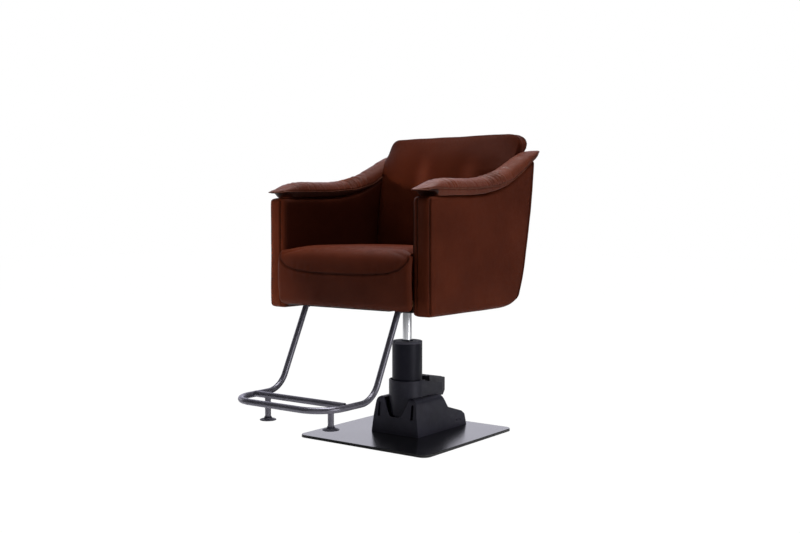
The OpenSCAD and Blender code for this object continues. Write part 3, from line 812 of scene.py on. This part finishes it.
# gathered puckers where the top panel meets the smile seam
d = dist_to(co, smile)
no = get_no(seat)
pk = np.array([noise.noise(Vector((p[0] * 70, p[1] * 12, p[2] * 9 + 4))) for p in co])
co = get_co(seat) + no * (0.0012 * pk * np.exp(-((d - 0.012) / 0.014) ** 2) * (np.abs(co[:, 0]) > 0.12))[:, None]
set_co(seat, co)
groove(seat, [smile] + side_runs, 0.0030, 0.0027, 0.0008)
co = get_co(seat)
wear_and_painted_highlight_attr(seat, np.exp(-((co[:, 2] - 0.64) / 0.02) ** 2) * smoothstep(-0.1, -0.34, co[:, 1]))
keep(seat, 0.75, "seat_cushion")
st = stitches("seat_cushion_stitching", seat, [smile], offset=0.0052, pitch=0.0046)
trim(st)

# ---- back cushion -------------------------------------------------------

P_TOP = [(-0.366, 0.8145), (-0.350, 0.8170), (-0.332, 0.8212), (-0.316, 0.8260), (-0.300, 0.8318), (-0.286, 0.8374), (-0.272, 0.8422), (-0.250, 0.8465), (-0.225, 0.8490),
         (-0.176, 0.8500), (-0.120, 0.8503), (-0.063, 0.8520), (-0.005, 0.8575), (0.0555, 0.8690), (0.1175, 0.8890), (0.181, 0.9155), (0.247, 0.9440), (0.274, 0.9530),
         (0.300, 0.9582), (0.318, 0.9595), (0.3330, 0.9590)]
B_FRONT = [(0.470, 0.1480), (0.632, 0.1490), (0.704, 0.1520), (0.795, 0.1610), (0.887, 0.1760), (0.937, 0.1960), (0.965, 0.2170), (0.990, 0.2330), (1.020, 0.2420)]
B_REAR = [(0.470, 0.1560), (0.600, 0.2040), (0.700, 0.2300), (0.800, 0.2440), (0.880, 0.2560), (0.936, 0.2690), (0.946, 0.2950), (0.956, 0.3280), (0.970, 0.3390), (1.020, 0.3410)]


def back_map(t, u):
    a, b, c = t[:, 0], t[:, 1], t[:, 2]
    z = 0.7485 + 0.2655 * c
    yf = smooth_table(B_FRONT, z, 0.02)
    yr = smooth_table(B_REAR, z, 0.02)
    y = (yf + yr) / 2 + b * (yr - yf) / 2
    # above the arms it widens into shoulders that rest on the pads
    rail = smooth_table(P_TOP, y, 0.015)
    w = 0.2485 + 0.0260 * smoothstep(rail - 0.036, rail - 0.018, z)
    x = a * w
    # the front swells forward between the arms, and falls back towards the head's corners
    swell = 0.0150 * np.clip(1 - (x / 0.27) ** 2, 0, 1) ** 0.8 * smoothstep(0.50, 0.66, z) * smoothstep(1.03, 0.95, z)
    swell = swell - 0.036 * np.abs(a) ** 4 * smoothstep(0.84, 0.96, z)
    y = y - swell * (b < 0) * np.abs(b)
    # the top rim is crowned a little
    z = z + 0.0028 * smoothstep(0.7, 1.0, c)
    return np.stack([x, y, z], 1)


back = lattice_obj("back_cushion_leather", (84, 16, 110), (0.2745, 0.0420, 0.2655), (0.0440, 0.0100, 0.0400), back_map, M["leather_back_painted_shade"])
CH = 0.0960
chan = []
for s in (-1, 1):
    path = [Vector((s * CH, 0.10, z)) for z in (0.66, 0.72, 0.78, 0.84, 0.90, 0.95)]
    chan.append([p for p, _ in snap_path(back, resample(path, 0.012))])


def box_seam(y_at, top=0.9955, inset=0.0):
    """A seam that runs up one side of the head, round the corner, along the top and down the other side."""
    pts = [(0.2745, 0.9500), (0.2745, 0.9730), (0.2715, 0.9880), (0.2630, 1.0020), (0.2480, 1.0120), (0.2250, 1.0160), (0.15, 1.0165), (0.0, 1.0180)]
    left = [Vector((-x, y_at, z)) for x, z in pts]
    right = [Vector((x, y_at, z)) for x, z in pts][::-1][1:]
    return [p for p, _ in snap_path(back, resample(left + right, 0.006))]


seam_f = box_seam(0.2800)
seam_r = box_seam(0.3240)
co = get_co(back)
pin = np.maximum(np.exp(-((dist_to(co, seam_f) / 0.005) ** 2)), np.exp(-((dist_to(co, seam_r) / 0.005) ** 2)))
pin = np.maximum(pin, (co[:, 1] > smooth_table(B_REAR, co[:, 2], 0.02) - 0.006) * (co[:, 2] < 0.96))
pin = np.maximum(pin, (co[:, 2] < 0.50) * 1.0)
pin = np.maximum(pin, ((np.abs(co[:, 0]) > 0.246) & (co[:, 2] < 0.93)) * 0.9)
simulate(back, pin, pressure=4.0, cap=0.010, stiff=25.0, even=28)
co = get_co(back)
low = co[:, 2] < smooth_table(P_TOP, co[:, 1], 0.015) - 0.036
co[:, 0] = np.where(low, np.clip(co[:, 0], -0.2492, 0.2492), np.clip(co[:, 0], -0.2800, 0.2800))
co[:, 1] = np.minimum(co[:, 1], np.where(co[:, 2] < 0.945, smooth_table(B_REAR, co[:, 2], 0.02) + 0.001, 0.3440))
co[:, 2] = np.minimum(co[:, 2], 1.0225)
set_co(back, co)
subdivide(back, 1)
wrinkle(back, 0.0014, 8.0, 11.0)
# two soft vertical draws in the front face, and slack folds above the seat and beside the arms
co, no = get_co(back), get_no(back)
front = (no[:, 1] < -0.3)
for s in (-1, 1):
    dx = co[:, 0] - s * CH
    k = np.exp(-((dx / 0.034) ** 2)) * smoothstep(0.64, 0.76, co[:, 2]) * smoothstep(0.985, 0.88, co[:, 2]) * front
    co[:, 1] += 0.0075 * k
fold = np.zeros(len(co))
for s in (-1, 1):
    for z0, sl, ln in ((0.700, -0.3, 0.035), (0.672, -0.4, 0.045)):
        ax = np.abs(co[:, 0])
        near = 0.250 - ax
        line = co[:, 2] - (z0 + sl * near)
        fold += (s * co[:, 0] > 0) * np.exp(-((line / 0.006) ** 2)) * np.exp(-((near / ln) ** 2)) * front
co[:, 1] += 0.0007 * fold
set_co(back, co)
seam_f = [p for p, _ in snap_path(back, seam_f)]
seam_r = [p for p, _ in snap_path(back, seam_r)]
groove(back, [seam_f, seam_r], 0.0026, 0.0030, 0.0008)
co = get_co(back)
# painted highlights: two soft vertical patches on the front face, where the pillows' slopes would catch a lamp
soft = np.zeros(len(co))
for x0, wd in ((-0.050, 0.026), (0.136, 0.029)):
    soft = np.maximum(soft, np.exp(-(((co[:, 0] - x0) / wd) ** 2)) * smoothstep(0.79, 0.88, co[:, 2]) * smoothstep(0.970, 0.870, co[:, 2]) * (co[:, 1] < 0.24))
# painted highlight: the head's side boxing and its top rim are lightened through the wear and soft attributes, for
# the lamp light that falls on them
side = smoothstep(0.265, 0.272, np.abs(co[:, 0])) * (co[:, 1] > 0.279)
wear_and_painted_highlight_attr(back, np.maximum(smoothstep(0.985, 1.01, co[:, 2]) * 0.4, side))
attr(back, "soft", np.maximum(soft * 0.55, side * 0.55))
keep(back, 0.75, "back_cushion", "back_frame")
trim(stitches("back_cushion_stitching", back, [seam_f, seam_r], offset=0.0042, pitch=0.0046))

# ---- arms ---------------------------------------------------------------

A_TOP = [(-0.330, 0.7950), (-0.283, 0.7958), (-0.210, 0.7980), (-0.130, 0.7990), (-0.044, 0.8040), (0.027, 0.8160), (0.089, 0.8320),
         (0.152, 0.8600), (0.217, 0.8940), (0.271, 0.9220), (0.298, 0.9350)]
A_REAR = [(0.430, 0.185), (0.453, 0.190), (0.479, 0.1960), (0.505, 0.208), (0.532, 0.219), (0.559, 0.227), (0.586, 0.234), (0.613, 0.240), (0.640, 0.247),
          (0.667, 0.253), (0.694, 0.260), (0.721, 0.266), (0.748, 0.272), (0.776, 0.277), (0.803, 0.2805), (0.830, 0.2845), (0.857, 0.2870),
          (0.885, 0.2910), (0.913, 0.2940), (0.945, 0.2980)]
A_BOT = [(-0.33, 0.4370), (0.064, 0.4362), (0.10, 0.4378), (0.13, 0.4415), (0.16, 0.4500), (0.20, 0.4720)]


def arm_yz(s, t, front=-0.3260, rear=A_REAR, top=A_TOP, bot=A_BOT, drop=0.0, inset=0.0):
    """Maps s (front to rear) and t (bottom to top), both 0..1, to the arm's outline."""
    y = front + s * 0.6
    z = np.full_like(y, 0.6)
    for _ in range(6):
        zb = smooth_table(bot, y, 0.02) + inset
        zt = smooth_table(top, y, 0.015) - drop
        z = zb + t * (zt - zb)
        y = front + s * (smooth_table(rear, z, 0.02) - inset - front)
    return y, z


def arm_map(t, u):
    x = 0.2520 + (t[:, 0] + 1) / 2 * (0.3275 - 0.2520)
    y, z = arm_yz((t[:, 1] + 1) / 2, (t[:, 2] + 1) / 2)
    return np.stack([x, y, z], 1)


def panel_map(t, u):
    x = 0.2496 + (t[:, 0] + 1) / 2 * 0.0120
    y, z = arm_yz((t[:, 1] + 1) / 2, (t[:, 2] + 1) / 2, front=-0.3165, drop=0.0100, inset=0.014)
    return np.stack([x, y, z], 1)


def mirrored(o, name):
    c = o.copy()
    c.data = o.data.copy()
    c.name = c.data.name = name
    scene.collection.objects.link(c)
    co = get_co(c)
    co[:, 0] *= -1
    set_co(c, co)
    bm = bmesh.new()
    bm.from_mesh(c.data)
    bmesh.ops.reverse_faces(bm, faces=bm.faces)
    bm.to_mesh(c.data)
    bm.free()
    for k in list(c.keys()):
        if k.startswith("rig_"):
            del c[k]
    c.parent = None
    return c


arm = lattice_obj("left_arm_leather", (20, 96, 72), (0.03775, 0.3050, 0.2200), (0.0220, 0.0220, 0.0140), arm_map, M["leather_side"])
co = get_co(arm)
# the outer face and the front swell a little between their seams
yy, zz = co[:, 1], co[:, 2]
win = smoothstep(-0.326, -0.20, yy) * smoothstep(0.29, 0.15, yy) * smoothstep(0.437, 0.52, zz) * smoothstep(0.80, 0.70, zz)
co[:, 0] += 0.0025 * win * (co[:, 0] > 0.31)
bulge = np.clip(1 - ((co[:, 0] - 0.2990) / 0.0270) ** 2, 0, 1) * (co[:, 1] < -0.315) * smoothstep(0.438, 0.47, zz) * smoothstep(0.795, 0.77, zz)
co[:, 1] -= 0.0035 * bulge
set_co(arm, co)
subdivide(arm, 1)


def arm_seam(x, y=None):
    path = [Vector((x, -0.3300, z)) for z in np.linspace(0.4420, 0.7880, 24)]
    return [p for p, _ in snap_path(arm, resample(path, 0.006))]


seam_out = arm_seam(0.3245)
seam_in = arm_seam(0.2740)
# a seam that follows the rear edge of the outer face from the top down to the underside
rear_path = []
for k in np.linspace(1.0, 0.0, 40):
    y, z = arm_yz(np.array([0.955]), np.array([k]))
    rear_path.append(Vector((0.335, y[0], z[0])))
seam_rear = [p for p, _ in snap_path(arm, rear_path)]
wrinkle(arm, 0.0011, 7.0, 23.0)
groove(arm, [seam_out, seam_in], 0.0024, 0.0026, 0.0007)
co = get_co(arm)
d = dist_to(co, seam_rear)
no = get_no(arm)
set_co(arm, co - no * (0.0016 * np.exp(-((d / 0.0028) ** 2)))[:, None])
sv = np.zeros(len(co))
arm.data.attributes["seam"].data.foreach_get("value", sv)
# painted shade: the arm's inner face and the rim round its panel are darkened through the seam attribute, for the
# shadow inside the tub
inner = 0.55 * smoothstep(0.2680, 0.2560, co[:, 0])
attr(arm, "seam", np.maximum(np.maximum(sv, inner), np.exp(-((d / 0.0022) ** 2))))
wear_and_painted_highlight_attr(arm, np.exp(-((co[:, 1] + 0.326) / 0.02) ** 2) * smoothstep(0.55, 0.44, co[:, 2]))
arm_r = mirrored(arm, "right_arm_leather")
keep(arm, 0.7, "left_arm_cover", "left_arm_frame")
keep(arm_r, 0.7, "right_arm_cover", "right_arm_frame")
st = stitches("left_arm_stitching", arm, [seam_out, seam_in, seam_rear], offset=0.0040, pitch=0.0046)
st_r = mirrored(st, "right_arm_stitching")
trim(st)
trim(st_r)

panel = lattice_obj("left_inner_panel_leather", (5, 72, 44), (0.0060, 0.2900, 0.1700), (0.0050, 0.0120, 0.0120), panel_map, M["leather_inner_painted_shade"])
subdivide(panel, 1)
wrinkle(panel, 0.0009, 8.0, 31.0)
co = get_co(panel)
co[:, 0] = np.maximum(co[:, 0], 0.2494)
set_co(panel, co)
attr(panel, "seam", np.zeros(len(co)))
wear_and_painted_highlight_attr(panel, np.zeros(len(co)))
panel_r = mirrored(panel, "right_inner_panel_leather")
keep(panel, 0.6, "left_inner_panel")
keep(panel_r, 0.6, "right_inner_panel")

# ---- arm pads -----------------------------------------------------------

P_SEAM = [(-0.366, 0.8133), (-0.345, 0.8130), (-0.318, 0.8142), (-0.295, 0.8165), (-0.209, 0.8180), (-0.130, 0.8190), (-0.067, 0.8220), (0.043, 0.8325), (0.134, 0.8525),
          (0.204, 0.8860), (0.265, 0.9250), (0.300, 0.9465), (0.318, 0.9550), (0.3330, 0.9582)]
P_BOT = [(-0.366, 0.8122), (-0.345, 0.8110), (-0.318, 0.8108), (-0.3020, 0.8102), (-0.2960, 0.8070), (-0.2900, 0.7990), (-0.2860, 0.7950), (-0.276, 0.7945), (-0.213, 0.7985), (-0.130, 0.7995),
         (-0.044, 0.8045), (0.027, 0.8160), (0.089, 0.8315), (0.152, 0.8580), (0.218, 0.8920), (0.271, 0.9210), (0.298, 0.9365), (0.310, 0.9450), (0.322, 0.9535), (0.3330, 0.9575)]
P_HALF = [(-0.3665, 0.0010), (-0.364, 0.0035), (-0.358, 0.0080), (-0.348, 0.0150), (-0.335, 0.0230), (-0.318, 0.0300), (-0.295, 0.0360), (-0.262, 0.0395), (-0.22, 0.0410),
          (0.22, 0.0410), (0.262, 0.0405), (0.283, 0.0365), (0.297, 0.0290), (0.311, 0.0180), (0.323, 0.0085), (0.3325, 0.0010)]


P_MID = [(-0.366, 0.2850), (-0.330, 0.2870), (-0.290, 0.2890), (0.262, 0.2900), (0.283, 0.2935), (0.297, 0.2995), (0.311, 0.3075), (0.323, 0.3130), (0.3325, 0.3155)]


def pad_section(y, n=44):
    """One closed ring of the pad in X and Z: a flat foot, a band, and a domed top that overhangs it."""
    zt, zs, zb = (float(smooth_table(T, np.array([y]), 0.008)[0]) for T in (P_TOP, P_SEAM, P_BOT))
    w = float(interp(P_HALF, y))
    zs = min(zs, zt - 0.002)
    zb = min(zb, zs - 0.0012)
    # the tips are pulled out of line, inwards in front and outwards behind
    xc = float(interp(P_MID, y))
    ring = []
    nb, nt = 8, n - 16
    # foot from the inner side to the outer side
    wb = w * 0.965
    for i in range(nb):
        f = i / nb
        ring.append((-wb + 2 * wb * f, zb))
    # outer band
    for i in range(4):
        f = i / 4
        ring.append((wb + 0.0012 * math.sin(math.pi * f), zb + (zs - zb) * f))
    # dome
    for i in range(nt + 1):
        an = math.pi * i / nt
        cx, sz = math.cos(an), math.sin(an)
        x = w * math.copysign(abs(cx) ** 0.80, cx)
        z = zs + (zt - zs) * abs(sz) ** 0.86
        ring.append((x, z))
    for i in range(1, 4):
        f = i / 4
        ring.append((-wb - 0.0012 * math.sin(math.pi * f), zs + (zb - zs) * f))
    return [(xc + x, z) for x, z in ring]


ys = np.concatenate([np.linspace(-0.3660, -0.330, 14, endpoint=False), np.linspace(-0.330, -0.28, 18, endpoint=False), np.linspace(-0.28, 0.27, 130, endpoint=False),
                     np.linspace(0.27, 0.3325, 24)])
verts, faces = [], []
m = None
for y in ys:
    ring = pad_section(float(y))
    m = len(ring)
    verts += [(x, float(y), z) for x, z in ring]
for i in range(len(ys) - 1):
    for j in range(m):
        a, b = i * m + j, i * m + (j + 1) % m
        faces.append((a, a + m, b + m, b))
for i, flip in ((0, False), (len(ys) - 1, True)):
    cx = np.mean(np.array(verts[i * m:(i + 1) * m]), axis=0)
    verts.append(tuple(cx))
    cidx = len(verts) - 1
    for j in range(m):
        a, b = i * m + j, i * m + (j + 1) % m
        faces.append((a, b, cidx) if not flip else (b, a, cidx))
pad = new_obj("left_arm_pad_leather", verts, faces, M["leather_pad_painted_light"])
bm = bmesh.new()
bm.from_mesh(pad.data)
bmesh.ops.recalc_face_normals(bm, faces=bm.faces)
bm.to_mesh(pad.data)
bm.free()
co = get_co(pad)
zs_all = smooth_table(P_SEAM, co[:, 1], 0.008)
pin = np.exp(-(((co[:, 2] - zs_all) / 0.004) ** 2))
pin = np.maximum(pin, (co[:, 2] < zs_all) * 0.95)
pin = np.maximum(pin, (co[:, 1] < -0.350) * 1.0)
pin = np.maximum(pin, (co[:, 1] > 0.312) * 1.0)
simulate(pad, pin, pressure=2.0, cap=0.004, stiff=25.0)
subdivide(pad, 1)
# creases: drawn at the beak, gathered where the pad starts to sweep up, faint ones elsewhere
co, no = get_co(pad), get_no(pad)
zs_all = smooth_table(P_SEAM, co[:, 1], 0.008)
up = smoothstep(0.0, 0.012, co[:, 2] - zs_all)
x = co[:, 0] - 0.2895
k = np.zeros(len(co))
for y0, sl, amp, wd, sp in ((-0.030, 0.25, 1.2, 0.0040, 0), (-0.008, 0.25, 2.0, 0.0034, 1), (0.008, 0.15, 3.4, 0.0036, 0), (0.020, 0.25, 3.2, 0.0034, -1),
                            (0.034, 0.18, 4.0, 0.0038, 0), (0.049, 0.24, 3.4, 0.0036, 1), (0.066, 0.2, 2.8, 0.0042, 0), (0.090, 0.25, 1.5, 0.0055, -1), (0.122, 0.2, 1.0, 0.0060, 1),
                            (-0.060, 0.25, 0.6, 0.0050, -1), (-0.098, 0.2, 0.5, 0.0050, 1), (-0.150, 0.25, 0.5, 0.0060, -1),
                            (-0.190, 0.3, 0.7, 0.0045, -1), (-0.216, 0.3, 1.6, 0.0036, 0), (-0.228, 0.3, 1.6, 0.0034, 1), (-0.254, 0.35, 1.5, 0.0045, 1), (-0.276, 0.35, 1.2, 0.0045, -1), (0.205, 0.2, 0.7, 0.0080, 1), (0.250, 0.2, 0.6, 0.0080, -1)):
    line = co[:, 1] - y0 - sl * np.abs(x) - 0.10 * x
    side = 1.0 if sp == 0 else smoothstep(-0.034, 0.006, sp * x)
    k += amp * np.exp(-((line / wd) ** 2)) * side
    k -= 0.5 * amp * np.exp(-(((line - wd * 1.8) / (wd * 1.0)) ** 2)) * side
for x0, a in ((-0.012, 2.0), (0.004, 1.6), (0.016, 1.8)):
    k += a * np.exp(-(((x - x0 * smoothstep(-0.366, -0.30, co[:, 1])) / 0.0032) ** 2)) * smoothstep(-0.285, -0.335, co[:, 1])
co = co - no * (0.0013 * k * up)[:, None]
set_co(pad, co)
wrinkle(pad, 0.0008, 26.0, 5.0)
co = get_co(pad)


def pad_line(sign, table, dx=0.0, lo=-0.360, hi=0.327):
    pts = []
    for y in np.linspace(lo, hi, 130):
        w = float(interp(P_HALF, y))
        z = float(smooth_table(table, np.array([y]), 0.008)[0])
        xc = float(interp(P_MID, y))
        pts.append(Vector((xc + sign * (w + dx), y, z)))
    return [p for p, _ in snap_path(pad, pts)]


line_out, line_in = pad_line(1, P_SEAM), pad_line(-1, P_SEAM)
groove(pad, [line_out, line_in], 0.0022, 0.0026, 0.0005)
co = get_co(pad)
zt = smooth_table(P_TOP, co[:, 1], 0.01)
wear_and_painted_highlight_attr(pad, smoothstep(0.012, 0.0, zt - co[:, 2]) * smoothstep(0.1, -0.1, co[:, 1]))
# painted shade: the underside of the beak, and the inner side of the band below the piping, are darkened through the
# seam attribute for the shadow under the pad
zs_all = smooth_table(P_SEAM, co[:, 1], 0.008)
shade = smoothstep(-0.2865, -0.2905, co[:, 1]) * (co[:, 2] < zs_all - 0.0012)
shade = np.maximum(shade, 0.97 * smoothstep(0.0008, 0.0022, zs_all - co[:, 2]) * (co[:, 0] < 0.270))
old = np.zeros(len(co))
pad.data.attributes["seam"].data.foreach_get("value", old)
pad.data.attributes["seam"].data.foreach_set("value", np.maximum(old, shade).astype(np.float32))
pad_r = mirrored(pad, "right_arm_pad_leather")
keep(pad, 0.8, "left_arm_pad")
keep(pad_r, 0.8, "right_arm_pad")
pipe_o = cord_on("left_pad_piping_outer", pad, line_out, 0.0015, M["piping"], lift=0.0006)
pipe_i = cord_on("left_pad_piping_inner", pad, line_in, 0.0015, M["piping"], lift=0.0006)
for o in (pipe_o, pipe_i):
    r = mirrored(o, o.name.replace("left", "right"))
    trim(o)
    trim(r)

# ---- outer back ---------------------------------------------------------

C_OUT = [(0.152, 0.4500), (0.168, 0.4570), (0.184, 0.4720), (0.200, 0.5000), (0.219, 0.5500), (0.237, 0.6100), (0.251, 0.6700), (0.268, 0.7400), (0.278, 0.8000),
         (0.287, 0.8600), (0.293, 0.9100), (0.297, 0.9460)]
co_pts = np.array(C_OUT)
arc = np.concatenate([[0], np.cumsum(np.linalg.norm(np.diff(co_pts, axis=0), axis=1))])
arc /= arc[-1]


def outer_map(t, u):
    a, b, c = t[:, 0], t[:, 1], (t[:, 2] + 1) / 2
    offs = np.linspace(-0.03, 0.03, 9)
    py = sum(np.interp(np.clip(c + o, 0, 1), arc, co_pts[:, 0]) for o in offs) / 9
    pz = sum(np.interp(np.clip(c + o, 0, 1), arc, co_pts[:, 1]) for o in offs) / 9
    e = 1e-3
    ty = np.interp(np.clip(c + e, 0, 1), arc, co_pts[:, 0]) - np.interp(np.clip(c - e, 0, 1), arc, co_pts[:, 0])
    tz = np.interp(np.clip(c + e, 0, 1), arc, co_pts[:, 1]) - np.interp(np.clip(c - e, 0, 1), arc, co_pts[:, 1])
    ln = np.sqrt(ty ** 2 + tz ** 2)
    ny, nz = tz / ln, -ty / ln
    off = (b - 1) / 2 * 0.020 + 0.003 * (b > 0) * np.clip(1 - a ** 4, 0, 1) * np.clip(1 - (2 * c - 1) ** 4, 0, 1)
    return np.stack([a * 0.2515, py + ny * off, pz + nz * off], 1)


outer = lattice_obj("outer_back_leather", (60, 4, 60), (0.2515, 0.0100, 0.2600), (0.008, 0.0080, 0.010), outer_map, M["leather_side"])
subdivide(outer, 1)
mid = []
for c in np.linspace(0.16, 0.97, 60):
    mid.append(Vector((0.0, np.interp(c, arc, co_pts[:, 0]) + 0.02, np.interp(c, arc, co_pts[:, 1]))))
mid = [p for p, _ in snap_path(outer, mid)]
wrinkle(outer, 0.0014, 6.0, 41.0)
groove(outer, [mid], 0.0022, 0.0028, 0.0007)
wear_and_painted_highlight_attr(outer, np.zeros(len(outer.data.vertices)))
keep(outer, 0.5, "back_cover")
trim(stitches("outer_back_stitching", outer, [mid], offset=0.0042, pitch=0.0048))

# --------------------------------------------------------------------------
# moulded and machined parts with their edges broken
# --------------------------------------------------------------------------


def eased(node, body, width=0.0012, segments=3, angle=32):
    """A copy of a CAD part whose sharp edges carry a small radius, in place of the plain one."""
    src = frame["nodes"][node]
    c = src.copy()
    c.data = src.data.copy()
    c.name = c.data.name = node + "_eased"
    scene.collection.objects.link(c)
    for k in list(c.keys()):
        if k.startswith("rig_"):
            del c[k]
    c.parent = None
    c.matrix_world = src.matrix_world.copy()
    bm = bmesh.new()
    bm.from_mesh(c.data)
    bmesh.ops.remove_doubles(bm, verts=bm.verts, dist=1e-5)
    bmesh.ops.dissolve_limit(bm, angle_limit=math.radians(0.6), verts=bm.verts, edges=bm.edges)
    bm.to_mesh(c.data)
    bm.free()
    if c.data.has_custom_normals:
        bpy.context.view_layer.objects.active = c
        c.data.attributes.remove(c.data.attributes["custom_normal"]) if "custom_normal" in c.data.attributes else None
    mod = c.modifiers.new("edge", "BEVEL")
    mod.width = width
    mod.segments = segments
    mod.limit_method = "ANGLE"
    mod.angle_limit = math.radians(angle)
    mod.use_clamp_overlap = True
    mod.harden_normals = True
    mod.miter_outer = "MITER_ARC"
    dg = bpy.context.evaluated_depsgraph_get()
    me = bpy.data.meshes.new_from_object(c.evaluated_get(dg))
    c.modifiers.clear()
    c.data = me
    me.name = c.name
    me.materials.clear()
    me.materials.append(M[NODE_MAT[node]])
    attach(c, body)
    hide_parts(node)
    return c


for node, body, slot, width in (("lower_shroud", "base", "black_plastic", 0.0022), ("upper_shroud", "base", "black_plastic", 0.0012),
                                ("pedal_tread", "pedal", "black_plastic", 0.0010), ("sleeve_cap", "base", "black_metal", 0.0008),
                                ("footrest_feet", "seat", "black_rubber", 0.0008)):
    eased(node, body, width)

# --------------------------------------------------------------------------
# floor and finish
# --------------------------------------------------------------------------

me = bpy.data.meshes.new("floor")
me.from_pydata([(-14, -14, 0), (14, -14, 0), (14, 14, 0), (-14, 14, 0)], [], [(0, 1, 2, 3)])
floor = bpy.data.objects.new("floor", me)
floor.location.z = -0.0005
scene.collection.objects.link(floor)
fm = Mat("floor_white")
fm.set(color=fm.mix(fm.noise(0.8, 2.0, 0.5), (0.93, 0.93, 0.935), (0.955, 0.955, 0.958)), rough=0.7, spec=0.2)
# a sweep of white paper: it glows by itself to the eye, and keeps only a faint shadow under the chair
f_em = fm.n.new("ShaderNodeEmission")
f_em.inputs["Strength"].default_value = 1.03
f_lp = fm.n.new("ShaderNodeLightPath")
f_mix = fm.n.new("ShaderNodeMixShader")
f_sc = fm.math("MULTIPLY", f_lp.outputs["Is Camera Ray"], 0.97)
fm.l.new(f_sc, f_mix.inputs[0])
fm.l.new(fm.b.outputs[0], f_mix.inputs[1])
fm.l.new(f_em.outputs[0], f_mix.inputs[2])
fm.l.new(f_mix.outputs[0], fm.out.inputs[0])
me.materials.append(fm.m)

# painted shade: the far pad takes the darker copy of the pad leather
bpy.data.objects["right_arm_pad_leather"].data.materials[0] = M["leather_pad_far_painted_shade"]
